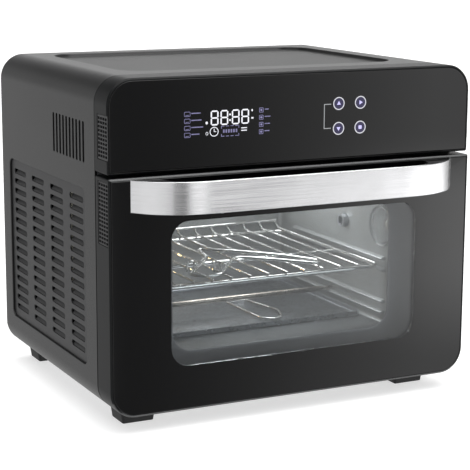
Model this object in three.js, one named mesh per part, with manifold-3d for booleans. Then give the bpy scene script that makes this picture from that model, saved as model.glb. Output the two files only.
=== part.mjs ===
// Countertop air-fryer oven with a drop-down glass door, a touch panel above it and a wire rack inside.
// Millimetres. Inside this file x runs left to right about the middle of the oven, y runs from the
// door's front face (0) to the back, and z runs up from the door's bottom edge (0).
// The exported group shifts all of it so that the origin is under the middle of the whole object.
import * as THREE from "three";
import { mergeVertices } from "three/addons/utils/BufferGeometryUtils.js";
import Module from "manifold-3d";

const wasm = await Module();
wasm.setup();

// ---- Driving dimensions -------------------------------------------------------------------------
const WIDTH = 400;
const HALF = WIDTH / 2;
const DEPTH = 317;
const HEIGHT = 325;
const FOOT_HEIGHT = 17.5;
const CORNER_R = 26;
const GAP = 0.3;

const SHELL_FRONT = 34.6;
const SHELL_WALL = 2;
const DOOR_DEPTH = 33.3;
const DOOR_TOP = 232.4;
const DOOR_WALL = 2.5;
const GLASS_LIP = 2.2;
const PANEL_FRONT = 2.7;
const PANEL_BOTTOM = 235.4;
const FRAME_FRONT = 35;
const FRAME_BACK = 36.2;

const CAVITY = { half: 140, floor: 44, ceiling: 204, back: 297, wall: 1.2 };
const RECESS = { half: 154, front: 66, back: 292, r: 28, depth: 3.5 };
const SIDE_SLOTS = { count: 10, firstY: 64.4, pitch: 9.2, width: 4.4, z0: 240, z1: 279.5 };
const VENT_PANEL = { y0: 62.5, y1: 291, z0: 38.5, z1: 214.5, r: 8, lap: 5, thick: 1.5 };
const LOUVRE = {
  columns: [92, 149, 206, 263],
  rows: 15,
  firstZ: 51,
  pitch: 10.75,
  length: 38,
  height: 5.6,
};
const REAR_VENTS = { columns: [-95, 95], rows: 9, firstZ: 180, pitch: 12, length: 90, height: 5 };
const BASE_OPENING = { half: 165, front: 60, back: 290 };
const BASE_VENTS = { count: 9, pitch: 24, width: 6, front: 110, back: 240 };
const FOOT = { x: 157, frontY: 51, rearY: 297, topR: 27, bottomR: 23, depthShare: 0.9 };
const HINGE = { y: 18, z: 14, x: 160, pinR: 2.5, sweepR: 15.5 };
const STAY = { x: 174, inner: 60, outer: 66, thick: 2 };
const DOOR_OPENING = { half: 150, z0: 32, z1: 200, r: 10 };
const INNER_WINDOW = { half: 123, z0: 51.5, z1: 186, r: 20 };
const INNER_PANEL = { y0: 28, y1: 29.2 };
const INNER_GLASS = { half: 136, y0: 29.5, y1: 32.9, z0: 45, z1: 200, r: 8 };
const SEAL = { half: 147.5, z0: 35, z1: 212.5, width: 6 };
const HANDLE = { bottom: 199.5, top: 230.5, reach: 35.7, strap: 1.8, screwX: 153, screwZ: 215 };
const FAN = { y: 165, shaftR: 3 };
const SPIT = { y: 146, z: 143 };
const LAMP = { y: 68, z: 150, lensR: 21, bulbR: 8 };
const THERMOSTAT = { y: 250, z: 196, r: 2.2 };
const RACK = {
  half: 134.5,
  front: 62,
  back: 282,
  crossY: 150,
  z: 107.7,
  frameR: 2.5,
  wireR: 1.6,
  railDepth: 9,
  railRise: 7,
};
const TOOL_R = 1.8;
const GRIP_R = 1.5;
const TRAY = { half: 135, front: 100, back: 292, height: 5.5, wall: 1 };
const HEATER_R = 3.2;
const SWITCH = { x: 165, z: 217, plungerR: 2.6 };
const GLAND = { x: 150, z: 60, flangeR: 11, sleeveR: 6.6, boreR: 3.6, holeR: 7 };

// ---- Geometry helpers ---------------------------------------------------------------------------
const solid = (geometry) => {
  const bare = geometry.clone();
  bare.deleteAttribute("normal");
  bare.deleteAttribute("uv");
  const merged = mergeVertices(bare, 1e-4);
  return new wasm.Manifold(
    new wasm.Mesh({
      numProp: 3,
      vertProperties: merged.attributes.position.array,
      triVerts: new Uint32Array(merged.index.array),
    }),
  );
};

const geometryOf = (body) => {
  const { vertProperties, triVerts } = body.getMesh();
  const geometry = new THREE.BufferGeometry();
  geometry.setAttribute("position", new THREE.BufferAttribute(vertProperties, 3));
  geometry.setIndex(new THREE.BufferAttribute(triVerts, 1));
  const faceted = geometry.toNonIndexed();
  faceted.computeVertexNormals();
  return faceted;
};

const join = (bodies) => bodies.reduce((all, next) => all.add(next));
const cut = (body, tools) => tools.reduce((left, tool) => left.subtract(tool), body);

const box = (x0, x1, y0, y1, z0, z1) =>
  solid(
    new THREE.BoxGeometry(x1 - x0, y1 - y0, z1 - z0).translate(
      (x0 + x1) / 2,
      (y0 + y1) / 2,
      (z0 + z1) / 2,
    ),
  );

// A rectangle with its own radius at each corner, drawn from the lower left one anticlockwise.
function roundedRect(x0, y0, x1, y1, radii) {
  const [a, b, c, d] = Array.isArray(radii) ? radii : [radii, radii, radii, radii];
  const shape = new THREE.Shape();
  shape.moveTo(x0 + a, y0);
  shape.lineTo(x1 - b, y0);
  if (b) shape.absarc(x1 - b, y0 + b, b, -Math.PI / 2, 0, false);
  shape.lineTo(x1, y1 - c);
  if (c) shape.absarc(x1 - c, y1 - c, c, 0, Math.PI / 2, false);
  shape.lineTo(x0 + d, y1);
  if (d) shape.absarc(x0 + d, y1 - d, d, Math.PI / 2, Math.PI, false);
  shape.lineTo(x0, y0 + a);
  if (a) shape.absarc(x0 + a, y0 + a, a, Math.PI, 1.5 * Math.PI, false);
  return shape;
}

const extrude = (shape, depth, curveSegments) =>
  new THREE.ExtrudeGeometry(shape, { depth, curveSegments, bevelEnabled: false });

// A shape drawn in x and z, swept along y; one drawn in y and z, swept along x; and one swept along z.
const alongY = (shape, y0, y1, segments = 6) =>
  solid(extrude(shape, y1 - y0, segments).rotateX(Math.PI / 2).translate(0, y1, 0));
const alongX = (shape, x0, x1, segments = 8) => {
  const turn = new THREE.Matrix4().makeBasis(
    new THREE.Vector3(0, 1, 0),
    new THREE.Vector3(0, 0, 1),
    new THREE.Vector3(1, 0, 0),
  );
  return solid(extrude(shape, x1 - x0, segments).applyMatrix4(turn).translate(x0, 0, 0));
};
const alongZ = (shape, z0, z1, segments = 5) =>
  solid(extrude(shape, z1 - z0, segments).translate(0, 0, z0));

const rodX = (r, x0, x1, y, z, sides = 16) =>
  solid(
    new THREE.CylinderGeometry(r, r, x1 - x0, sides)
      .rotateZ(Math.PI / 2)
      .translate((x0 + x1) / 2, y, z),
  );
const rodY = (r, y0, y1, x, z, sides = 16) =>
  solid(new THREE.CylinderGeometry(r, r, y1 - y0, sides).translate(x, (y0 + y1) / 2, z));
const rodZ = (r, z0, z1, x, y, sides = 16) =>
  solid(
    new THREE.CylinderGeometry(r, r, z1 - z0, sides)
      .rotateX(Math.PI / 2)
      .translate(x, y, (z0 + z1) / 2),
  );

// A path through listed points, with the sections exactly at those points.
class BentPath extends THREE.Curve {
  constructor(points) {
    super();
    this.points = points;
  }
  getPoint(t) {
    return this.points[Math.round(t * (this.points.length - 1))].clone();
  }
  getPointAt(u) {
    return this.getPoint(u);
  }
  getTangentAt(u, target = new THREE.Vector3()) {
    const i = Math.round(u * (this.points.length - 1));
    const before = this.points[Math.max(i - 1, 0)];
    const after = this.points[Math.min(i + 1, this.points.length - 1)];
    return target.subVectors(after, before).normalize();
  }
}

// Round wire through corner points, each inner corner turned on a small bend.
function wire(corners, r, bend, sides = 6, bendSteps = 3) {
  const points = [corners[0].clone()];
  for (let i = 1; i < corners.length - 1; i += 1) {
    const here = corners[i];
    const back = corners[i - 1].clone().sub(here).normalize().multiplyScalar(bend).add(here);
    const on = corners[i + 1].clone().sub(here).normalize().multiplyScalar(bend).add(here);
    const curve = new THREE.QuadraticBezierCurve3(back, here.clone(), on);
    points.push(...curve.getPoints(bendSteps));
  }
  points.push(corners[corners.length - 1].clone());
  const section = new THREE.Shape();
  for (let k = 0; k < sides; k += 1) {
    const angle = (2 * Math.PI * (k + 0.5)) / sides;
    const [x, y] = [r * Math.cos(angle), r * Math.sin(angle)];
    if (k === 0) section.moveTo(x, y);
    else section.lineTo(x, y);
  }
  const steps = points.length - 1;
  return solid(
    new THREE.ExtrudeGeometry(section, { steps, extrudePath: new BentPath(points) }),
  );
}
const at = (x, y, z) => new THREE.Vector3(x, y, z);

// ---- Finishes -----------------------------------------------------------------------------------
const finish = (color, roughness, metalness = 0) =>
  new THREE.MeshStandardMaterial({ color, roughness, metalness });
const SHELL_GREY = finish(0x5c5e60, 0.55);
const FRAME_BLACK = finish(0x2a2b2d, 0.45);
const BLACK_GLASS = finish(0x0c0d0f, 0.08);
const CLEAR_GLASS = new THREE.MeshStandardMaterial({
  color: 0xdfe6e6,
  roughness: 0.05,
  transparent: true,
  opacity: 0.3,
});
const BRUSHED_STEEL = finish(0xc9cacc, 0.3, 1);
const BLACK_PLASTIC = finish(0x131415, 0.5);
const DARK_RUBBER = finish(0x18191a, 0.85);
const LINER_STEEL = finish(0x8f979a, 0.35, 0.9);
const PANEL_STEEL = finish(0x4a4c4f, 0.5, 0.3);
const BRIGHT_WIRE = finish(0xdedfe0, 0.15, 1);
const HEATER_STEEL = finish(0x6f7072, 0.45, 0.9);
const PLATED_STEEL = finish(0x9b9ea0, 0.4, 0.9);
const MOTOR_STEEL = finish(0x7c7f82, 0.45, 0.8);
const BOARD_GREEN = finish(0x1f5a3a, 0.6);
const WOOL_WHITE = finish(0xd6d2c6, 0.95);
const LAMP_WHITE = finish(0xfff1d0, 0.2);
const SILICONE_GREY = finish(0x35373a, 0.8);

const oven = new THREE.Group();
const bodyGroup = new THREE.Group();
const doorGroup = new THREE.Group();
const rackGroup = new THREE.Group();
const fanGroup = new THREE.Group();
oven.add(bodyGroup, doorGroup, rackGroup, fanGroup);

function piece(name, body, material, group = bodyGroup) {
  const mesh = new THREE.Mesh(geometryOf(body), material);
  mesh.name = name;
  group.add(mesh);
}
const SIDES = [
  ["left", -1],
  ["right", 1],
];
const sideBox = (side, x0, x1, ...rest) =>
  side < 0 ? box(-x1, -x0, ...rest) : box(x0, x1, ...rest);
const sideRodX = (side, r, x0, x1, ...rest) =>
  side < 0 ? rodX(r, -x1, -x0, ...rest) : rodX(r, x0, x1, ...rest);

// Outline of the whole front, drawn inwards by an inset.
const outline = (inset, bottom = 0, top = HEIGHT, radii = CORNER_R) => {
  const shrink = (r) => Math.max(r - inset, 0.5);
  const list = Array.isArray(radii) ? radii.map(shrink) : shrink(radii);
  return roundedRect(-HALF + inset, bottom + inset, HALF - inset, top - inset, list);
};
const doorOutline = (inset) => outline(inset, 0, DOOR_TOP, [CORNER_R, CORNER_R, 2, 2]);
const panelOutline = (inset) => outline(inset, PANEL_BOTTOM, HEIGHT, [2, 2, CORNER_R, CORNER_R]);

// ---- Outer casing -------------------------------------------------------------------------------
// A row or column of repeated positions.
const series = (count, first, pitch) => Array.from({ length: count }, (_, k) => first + pitch * k);
const centred = (count, pitch) => series(count, (-pitch * (count - 1)) / 2, pitch);

function outerShell() {
  const { half, front, back, r, depth } = RECESS;
  const recess = roundedRect(-half, front, half, back, r);
  const padding = roundedRect(-half - 2, front - 2, half + 2, back + 2, r + 1);
  const inside = HEIGHT - SHELL_WALL;
  let shell = alongY(outline(0), SHELL_FRONT, DEPTH).subtract(
    alongY(outline(SHELL_WALL), SHELL_FRONT - 1, DEPTH + 1),
  );
  shell = shell.add(alongZ(padding, inside - depth, inside + 0.5));
  const tools = [alongZ(recess, HEIGHT - depth, HEIGHT + 1)];
  const window = roundedRect(VENT_PANEL.y0, VENT_PANEL.z0, VENT_PANEL.y1, VENT_PANEL.z1, VENT_PANEL.r);
  tools.push(alongX(window, -HALF - 1, HALF + 1, 4));
  for (const y of series(SIDE_SLOTS.count, SIDE_SLOTS.firstY, SIDE_SLOTS.pitch)) {
    const [y0, y1] = [y - SIDE_SLOTS.width / 2, y + SIDE_SLOTS.width / 2];
    tools.push(box(-HALF - 1, HALF + 1, y0, y1, SIDE_SLOTS.z0, SIDE_SLOTS.z1));
  }
  const base = BASE_OPENING;
  tools.push(box(-base.half, base.half, base.front, base.back, -1, SHELL_WALL + 1));
  return cut(shell, tools);
}
piece("outer_shell", outerShell(), SHELL_GREY);

// Louvred panels that close the two windows in the sides from inside.
for (const [name, side] of SIDES) {
  const { y0, y1, z0, z1, lap, thick } = VENT_PANEL;
  const { length, height } = LOUVRE;
  const outer = HALF - SHELL_WALL - GAP;
  const slots = [];
  for (const y of LOUVRE.columns) {
    for (const z of series(LOUVRE.rows, LOUVRE.firstZ, LOUVRE.pitch)) {
      slots.push(box(-HALF, HALF, y - length / 2, y + length / 2, z - height / 2, z + height / 2));
    }
  }
  const plate = sideBox(side, outer - thick, outer, y0 - lap, y1 + lap, z0 - lap, z1 + lap);
  piece("vent_panel_" + name, cut(plate, slots), SHELL_GREY);
}

const REAR_INSET = 2;
function rearPanel() {
  const [front, back] = [DEPTH - REAR_INSET - 2, DEPTH - REAR_INSET];
  const plate = alongY(outline(SHELL_WALL + 0.4), front, back);
  const slots = [rodY(GLAND.holeR, front - 1, back + 1, GLAND.x, GLAND.z)];
  const { length, height } = REAR_VENTS;
  for (const x of REAR_VENTS.columns) {
    for (const z of series(REAR_VENTS.rows, REAR_VENTS.firstZ, REAR_VENTS.pitch)) {
      const [x0, x1] = [x - length / 2, x + length / 2];
      slots.push(box(x0, x1, front - 1, back + 1, z - height / 2, z + height / 2));
    }
  }
  return cut(plate, slots);
}
piece("rear_panel", rearPanel(), FRAME_BLACK);

function cordGland() {
  const { x, z, flangeR, sleeveR, boreR } = GLAND;
  const flange = rodY(flangeR, DEPTH - REAR_INSET + GAP, DEPTH, x, z);
  const sleeve = rodY(sleeveR, DEPTH - 12, DEPTH - 1, x, z);
  return flange.add(sleeve).subtract(rodY(boreR, DEPTH - 13, DEPTH + 1, x, z));
}
piece("cord_gland", cordGland(), DARK_RUBBER);

function basePlate() {
  const [low, thick] = [SHELL_WALL + GAP, 1.2];
  const lap = 7;
  const { half, front, back } = BASE_OPENING;
  const plate = box(-half - lap, half + lap, front - lap - 1, back + lap + 1, low, low + thick);
  const slots = centred(BASE_VENTS.count, BASE_VENTS.pitch).map((x) => {
    const [x0, x1] = [x - BASE_VENTS.width / 2, x + BASE_VENTS.width / 2];
    return box(x0, x1, BASE_VENTS.front, BASE_VENTS.back, low - 1, low + thick + 1);
  });
  return cut(plate, slots);
}
piece("base_plate", basePlate(), PLATED_STEEL);

// Tapered feet, all behind the door so that it can swing down in front of them.
for (const [end, y] of [
  ["front", FOOT.frontY],
  ["rear", FOOT.rearY],
]) {
  for (const [name, side] of SIDES) {
    const height = FOOT_HEIGHT - GAP;
    const frustum = new THREE.CylinderGeometry(FOOT.topR, FOOT.bottomR, height, 4)
      .rotateY(Math.PI / 4)
      .rotateX(Math.PI / 2)
      .scale(1, FOOT.depthShare, 1)
      .translate(side * FOOT.x, y, -GAP - height / 2);
    piece("foot_" + end + "_" + name, solid(frustum), BLACK_PLASTIC);
  }
}

// ---- Front frame and hinge brackets -------------------------------------------------------------
function frontFrame() {
  const { half, floor, ceiling } = CAVITY;
  const [front, back] = [FRAME_FRONT - 1, FRAME_BACK + 1];
  const tools = [
    alongY(roundedRect(-half, floor, half, ceiling, 6), front, back, 3),
    box(-150, 150, front, back, 250, 310),
    rodY(SWITCH.plungerR + 1, front, back, SWITCH.x, SWITCH.z),
  ];
  for (const [, side] of SIDES) {
    tools.push(sideBox(side, HINGE.x - 6, HINGE.x + 6, front, back, 7, 19));
    tools.push(sideBox(side, STAY.x - 2.2, STAY.x + 2.2, front, back, 69, 80));
  }
  return cut(alongY(outline(SHELL_WALL + 0.4), FRAME_FRONT, FRAME_BACK), tools);
}
piece("front_frame", frontFrame(), PANEL_STEEL);

for (const [name, side] of SIDES) {
  const knuckle = sideRodX(side, 6, HINGE.x - 5, HINGE.x + 5, HINGE.y, HINGE.z);
  const arm = sideBox(side, HINGE.x - 5, HINGE.x + 5, HINGE.y, 76, HINGE.z - 5.2, HINGE.z + 3);
  const foot = sideBox(side, HINGE.x - 9, HINGE.x + 9, 44, 76, 3.8, HINGE.z - 5);
  const bore = sideRodX(side, HINGE.pinR + 0.5, HINGE.x - 9, HINGE.x + 9, HINGE.y, HINGE.z);
  piece("hinge_bracket_" + name, cut(join([knuckle, arm, foot]), [bore]), PLATED_STEEL);
}

// ---- Control panel ------------------------------------------------------------------------------
const GRILLE = { y0: 3, y1: 27.5, pocket: 1.6 };
const UPPER_GRILLE = [248.6, 291];
const LOWER_GRILLE = [167.6, 228.1];
const DISPLAY = { x0: -125, x1: -25, z0: 262, z1: 296 };

const grillePocket = (side, [z0, z1]) =>
  sideBox(side, HALF - GRILLE.pocket, HALF + 1, GRILLE.y0, GRILLE.y1, z0, z1);
const grillePlate = (side, [z0, z1]) => {
  const inner = HALF - GRILLE.pocket + GAP;
  return sideBox(
    side,
    inner,
    inner + 0.8,
    GRILLE.y0 + GAP,
    GRILLE.y1 - GAP,
    z0 + GAP,
    z1 - GAP,
  );
};

function controlHousing() {
  const block = alongY(panelOutline(0), PANEL_FRONT, SHELL_FRONT - GAP);
  const tools = [
    alongY(panelOutline(GLASS_LIP), PANEL_FRONT - 1, PANEL_FRONT + 3.2),
    alongY(panelOutline(DOOR_WALL), PANEL_FRONT + 5.5, SHELL_FRONT),
    box(DISPLAY.x0 - 2, DISPLAY.x1 + 2, 0, 20, DISPLAY.z0 - 2, DISPLAY.z1 + 2),
  ];
  for (const [, side] of SIDES) tools.push(grillePocket(side, UPPER_GRILLE));
  return cut(block, tools);
}
piece("control_housing", controlHousing(), FRAME_BLACK);
piece(
  "control_glass",
  alongY(panelOutline(DOOR_WALL), PANEL_FRONT + 0.2, PANEL_FRONT + 2.9),
  BLACK_GLASS,
);
piece(
  "display_module",
  box(DISPLAY.x0, DISPLAY.x1, PANEL_FRONT + 3.5, 16.7, DISPLAY.z0, DISPLAY.z1),
  BLACK_PLASTIC,
);

function controlBoard() {
  const parts = [box(-140, 100, 17, 18.6, 246, 312)];
  for (const x of [-134, 94]) {
    for (const z of [251, 307]) parts.push(rodY(2.5, PANEL_FRONT + 5.8, 17.5, x, z, 8));
  }
  parts.push(box(-20, 20, 18.4, 26, 256, 268), box(50, 80, 18.4, 22, 280, 300));
  return join(parts);
}
piece("control_board", controlBoard(), BOARD_GREEN);
for (const [name, side] of SIDES) {
  piece("upper_grille_" + name, grillePlate(side, UPPER_GRILLE), SHELL_GREY);
}

// ---- Oven cavity --------------------------------------------------------------------------------
const RAILS = [
  [54, 58.5],
  [66, 70.5],
  [100.3, 104.8],
  [112.8, 117.3],
];
const HEATERS = [
  ["lower_heater_front", 175, 60],
  ["lower_heater_rear", 250, 60],
  ["upper_heater_front", 95, 190],
  ["upper_heater_rear", 238, 190],
];

function cavityLiner() {
  const { half, floor, ceiling, back, wall } = CAVITY;
  const front = FRAME_BACK + GAP;
  let liner = box(-half - wall, half + wall, front, back + wall, floor - wall, ceiling + wall);
  liner = liner.subtract(box(-half, half, front - 1, back, floor, ceiling));
  const rails = [];
  for (const [, side] of SIDES) {
    for (const [z0, z1] of RAILS) {
      rails.push(sideBox(side, half - 5, half + 0.5, 60, 262, z0, z1));
    }
  }
  liner = join([liner, ...rails]);
  const tools = HEATERS.map(([, y, z]) => rodX(HEATER_R + 0.6, -half - 8, half + 8, y, z, 10));
  tools.push(rodZ(62, ceiling - 1, ceiling + 3, 0, FAN.y, 24));
  tools.push(rodX(8, half - 1, half + 8, SPIT.y, SPIT.z));
  tools.push(rodX(18, half - 1, half + 8, LAMP.y, LAMP.z, 20));
  tools.push(rodX(THERMOSTAT.r + 0.6, -half - 8, -half + 1, THERMOSTAT.y, THERMOSTAT.z, 8));
  return cut(liner, tools);
}
piece("cavity_liner", cavityLiner(), LINER_STEEL);

for (const [name, y, z] of HEATERS) piece(name, rodX(HEATER_R, -152, 152, y, z, 12), HEATER_STEEL);

function crumbTray() {
  const { half, front, back, height, wall } = TRAY;
  const low = CAVITY.floor + GAP;
  const tray = box(-half, half, front, back, low, low + height);
  const inside = box(wall - half, half - wall, front + wall, back - wall, low + wall, low + height + 1);
  return tray.subtract(inside);
}
piece("crumb_tray", crumbTray(), PLATED_STEEL);

for (const [name, side] of SIDES) {
  let pad = sideBox(side, CAVITY.half + 2, CAVITY.half + 9, 90, 290, 72, 182);
  if (side > 0) pad = pad.subtract(rodX(11, 130, 160, SPIT.y, SPIT.z, 12));
  piece("insulation_" + name, pad, WOOL_WHITE);
}

// Lamp behind a glass lens in the right-hand wall, near the front.
const rodAtLamp = (r, x0, x1, sides) =>
  rodX(r, CAVITY.half + x0, CAVITY.half + x1, LAMP.y, LAMP.z, sides);
piece("lamp_lens", rodAtLamp(LAMP.lensR, -3.5, -GAP, 24), CLEAR_GLASS);
piece(
  "lamp_housing",
  rodAtLamp(LAMP.lensR + 1, 1.5, 34, 20).subtract(rodAtLamp(LAMP.lensR - 0.2, 0, 32.8, 20)),
  PLATED_STEEL,
);
piece("lamp_bulb", rodAtLamp(LAMP.bulbR, 4, 32.5, 12), LAMP_WHITE);
piece("thermostat_probe", rodX(THERMOSTAT.r, -152, -112, THERMOSTAT.y, THERMOSTAT.z, 8), BRIGHT_WIRE);

// Rotisserie drive: a square socket in the right-hand wall with its gear motor behind.
piece(
  "rotisserie_motor",
  box(150, 186, SPIT.y - 25, SPIT.y + 25, SPIT.z - 24, SPIT.z + 24),
  MOTOR_STEEL,
);
function rotisserieCoupling() {
  const cup = rodX(7, 134, 146, SPIT.y, SPIT.z, 16);
  const stub = rodX(3, 145, 149.6, SPIT.y, SPIT.z, 8);
  const socket = box(133, 142, SPIT.y - 4, SPIT.y + 4, SPIT.z - 4, SPIT.z + 4);
  return cup.add(stub).subtract(socket);
}
piece("rotisserie_coupling", rotisserieCoupling(), PLATED_STEEL);

// ---- Fan above the cavity -----------------------------------------------------------------------
function fanGuard() {
  const disc = rodZ(68, CAVITY.ceiling - 1.6, CAVITY.ceiling - GAP, 0, FAN.y, 32);
  const slots = [];
  for (let k = 0; k < 18; k += 1) {
    const slot = new THREE.BoxGeometry(38, 5, 8).translate(39, 0, 0);
    slot.rotateZ((k * Math.PI) / 9).translate(0, FAN.y, CAVITY.ceiling - 1);
    slots.push(solid(slot));
  }
  return cut(disc, slots);
}
piece("fan_guard", fanGuard(), PLATED_STEEL);

const HOUSING_TOP = 236;
piece(
  "fan_housing",
  rodZ(74, CAVITY.ceiling + CAVITY.wall + GAP, HOUSING_TOP, 0, FAN.y, 28)
    .subtract(rodZ(72.8, CAVITY.ceiling, HOUSING_TOP - 1.2, 0, FAN.y, 28))
    .subtract(rodZ(6, HOUSING_TOP - 3, HOUSING_TOP + 1, 0, FAN.y, 12)),
  PLATED_STEEL,
);

function fanMotor() {
  const parts = [rodZ(30, 246, 280, 0, FAN.y, 24)];
  for (const dx of [-20, 20]) {
    for (const dy of [-20, 20]) {
      parts.push(rodZ(3, HOUSING_TOP + GAP, 247, dx, FAN.y + dy, 8));
    }
  }
  return join(parts).subtract(rodZ(FAN.shaftR + 0.8, 240, 290, 0, FAN.y, 12));
}
piece("fan_motor", fanMotor(), MOTOR_STEEL);

function impeller(radius, bottom, blades, bladeHeight) {
  const parts = [
    rodZ(radius, bottom, bottom + 1.2, 0, FAN.y, 24),
    rodZ(7, bottom, bottom + bladeHeight + 1, 0, FAN.y, 12),
  ];
  for (let k = 0; k < blades; k += 1) {
    const blade = new THREE.BoxGeometry(radius * 0.5, 1.2, bladeHeight);
    blade.rotateZ(0.35).translate(radius * 0.7, 0, bottom + 0.6 + bladeHeight / 2);
    blade.rotateZ((2 * Math.PI * k) / blades).translate(0, FAN.y, 0);
    parts.push(solid(blade));
  }
  return join(parts).subtract(rodZ(FAN.shaftR + GAP, bottom - 5, bottom + 40, 0, FAN.y, 12));
}
piece("fan_shaft", rodZ(FAN.shaftR, 209, 306, 0, FAN.y, 12), PLATED_STEEL, fanGroup);
piece("hot_impeller", impeller(56, 210, 8, 15), PLATED_STEEL, fanGroup);
piece("cooling_impeller", impeller(42, 288, 8, 13), BLACK_PLASTIC, fanGroup);

function powerBoard() {
  const parts = [box(-138, -80, 200, 285, 226, 227.6)];
  for (const x of [-133, -85]) {
    for (const y of [205, 280]) {
      parts.push(rodZ(2.5, CAVITY.ceiling + CAVITY.wall + GAP, 226.5, x, y, 8));
    }
  }
  parts.push(box(-130, -104, 210, 230, 227, 244), box(-130, -104, 238, 258, 227, 244));
  parts.push(rodZ(8, 227, 250, -93, 225, 12), box(-100, -86, 245, 275, 227, 252));
  return join(parts);
}
piece("power_board", powerBoard(), BOARD_GREEN);

// ---- Door switch --------------------------------------------------------------------------------
function doorSwitch() {
  const { x, z, plungerR } = SWITCH;
  const block = box(x - 10, x + 10, FRAME_BACK + GAP, 52, z - 8, z + 8);
  return block.subtract(rodY(plungerR + 0.6, FRAME_BACK, 47, x, z));
}
piece("door_switch", doorSwitch(), BLACK_PLASTIC);
const plunger = rodY(SWITCH.plungerR, INNER_PANEL.y1 + 0.4, 44, SWITCH.x, SWITCH.z, 12);
piece("switch_plunger", plunger, LAMP_WHITE);

// ---- Rack and lift tool -------------------------------------------------------------------------
function wireRack() {
  const { half, front, back, z, frameR, wireR, railDepth, railRise } = RACK;
  const ring = (y0, y1) => [
    at(0, y0, z),
    at(half, y0, z),
    at(half, y1, z),
    at(-half, y1, z),
    at(-half, y0, z),
    at(0, y0, z),
  ];
  const parts = [wire(ring(front, back), frameR, 18, 8, 4)];
  const top = z + frameR + wireR - 0.4;
  const [railY, railZ] = [back + railDepth, top + railRise];
  for (const x of centred(13, 21.25)) {
    const run = [at(x, front - 1, top), at(x, back, top), at(x, railY, railZ)];
    parts.push(wire(run, wireR, 3, 6, 2));
  }
  parts.push(rodX(2, -130, 130, railY, railZ, 8));
  parts.push(rodX(2, -half, half, RACK.crossY, z + 0.4, 8));
  return join(parts);
}
piece("wire_rack", wireRack(), BRIGHT_WIRE, rackGroup);

// Bent-wire tool lying on the rack: two arms of paired wire that meet in a V.
function liftTool() {
  const z = RACK.z + RACK.frameR + 2 * RACK.wireR - 0.4 + GAP + TOOL_R;
  const loop = [
    [-70, 68],
    [-81, 79],
    [-28, 152],
    [-19, 193],
    [17, 161],
    [50, 124],
    [72, 86],
    [64, 70],
    [34, 106],
    [2, 136],
    [-14, 122],
    [-53, 66],
    [-66, 66],
  ];
  return wire(
    loop.map(([x, y]) => at(x, y, z)),
    TOOL_R,
    4,
    6,
    2,
  );
}
piece("lift_tool", liftTool(), BRIGHT_WIRE, rackGroup);

// Wire loop for gripping a hot tray, lying in the crumb tray.
function gripTool() {
  const z = CAVITY.floor + 2 * GAP + TRAY.wall + GRIP_R;
  const loop = [
    [33, 209],
    [23, 209],
    [26, 128],
    [36, 118],
    [49, 123],
    [59, 150],
    [48, 209],
    [34.5, 209],
  ];
  return wire(
    loop.map(([x, y]) => at(x, y, z)),
    GRIP_R,
    4,
    6,
    2,
  );
}
piece("grip_tool", gripTool(), BRIGHT_WIRE);

// ---- Door ---------------------------------------------------------------------------------------
// The lower inside edge is rounded about the hinge axis, so that it clears the casing as it swings.
function hingeSweep() {
  const corner = box(-HALF - 1, HALF + 1, HINGE.y, DOOR_DEPTH + 5, -1, HINGE.z);
  return corner.subtract(rodX(HINGE.sweepR, -HALF - 2, HALF + 2, HINGE.y, HINGE.z, 32));
}
const hingePocket = (side) =>
  sideBox(side, HINGE.x - 6.2, HINGE.x + 6.2, HINGE.y - 7, 40, -1, HINGE.z + 7.5);
const screwRod = (side, r, y0, y1, sides = 10) =>
  rodY(r, y0, y1, side * HANDLE.screwX, HANDLE.screwZ, sides);

function doorFrame() {
  const block = alongY(doorOutline(0), 0, DOOR_DEPTH);
  const hollow = alongY(doorOutline(DOOR_WALL), 6, DOOR_DEPTH + 1);
  const { half, z0, z1, r } = DOOR_OPENING;
  const opening = alongY(roundedRect(-half, z0, half, z1, r), -1, DOOR_DEPTH + 1, 4);
  let frame = cut(block, [alongY(doorOutline(GLASS_LIP), -1, 3.6), hollow, opening]);
  const ribs = [];
  for (const [, side] of SIDES) {
    for (const x of [HINGE.x - 10, HINGE.x + 7]) {
      ribs.push(sideBox(side, x, x + 3, 5, 27.6, 1.5, 27));
    }
  }
  frame = join([frame, ...ribs]);
  const tools = [hingeSweep()];
  for (const [, side] of SIDES) {
    tools.push(hingePocket(side));
    tools.push(
      sideRodX(side, HINGE.pinR + GAP, HINGE.x - 15, HINGE.x + 15, HINGE.y, HINGE.z, 12),
    );
    tools.push(grillePocket(side, LOWER_GRILLE));
    tools.push(screwRod(side, 2.4, -1, 8));
  }
  return cut(frame, tools);
}
piece("door_frame", doorFrame(), FRAME_BLACK, doorGroup);

function doorOuterGlass() {
  const holes = SIDES.map(([, side]) => screwRod(side, 3, -1, 8));
  return cut(alongY(doorOutline(DOOR_WALL), 0.2, 3.3), holes);
}
piece("door_outer_glass", doorOuterGlass(), BLACK_GLASS, doorGroup);

function doorInnerPanel() {
  const { half, z0, z1, r } = INNER_WINDOW;
  const tools = [alongY(roundedRect(-half, z0, half, z1, r), 20, 35), hingeSweep()];
  for (const [, side] of SIDES) tools.push(hingePocket(side));
  return cut(alongY(doorOutline(DOOR_WALL + GAP), INNER_PANEL.y0, INNER_PANEL.y1), tools);
}
piece("door_inner_panel", doorInnerPanel(), PANEL_STEEL, doorGroup);

function doorInnerGlass() {
  const { half, y0, y1, z0, z1, r } = INNER_GLASS;
  return alongY(roundedRect(-half, z0, half, z1, r), y0, y1, 4);
}
piece("door_inner_glass", doorInnerGlass(), CLEAR_GLASS, doorGroup);

function doorSeal() {
  const { half, z0, z1, width } = SEAL;
  const inner = roundedRect(width - half, z0 + width, half - width, z1 - width, 6);
  return alongY(roundedRect(-half, z0, half, z1, 12), INNER_GLASS.y0, SHELL_FRONT, 5).subtract(
    alongY(inner, INNER_PANEL.y0, FRAME_BACK, 5),
  );
}
piece("door_seal", doorSeal(), SILICONE_GREY, doorGroup);

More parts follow.
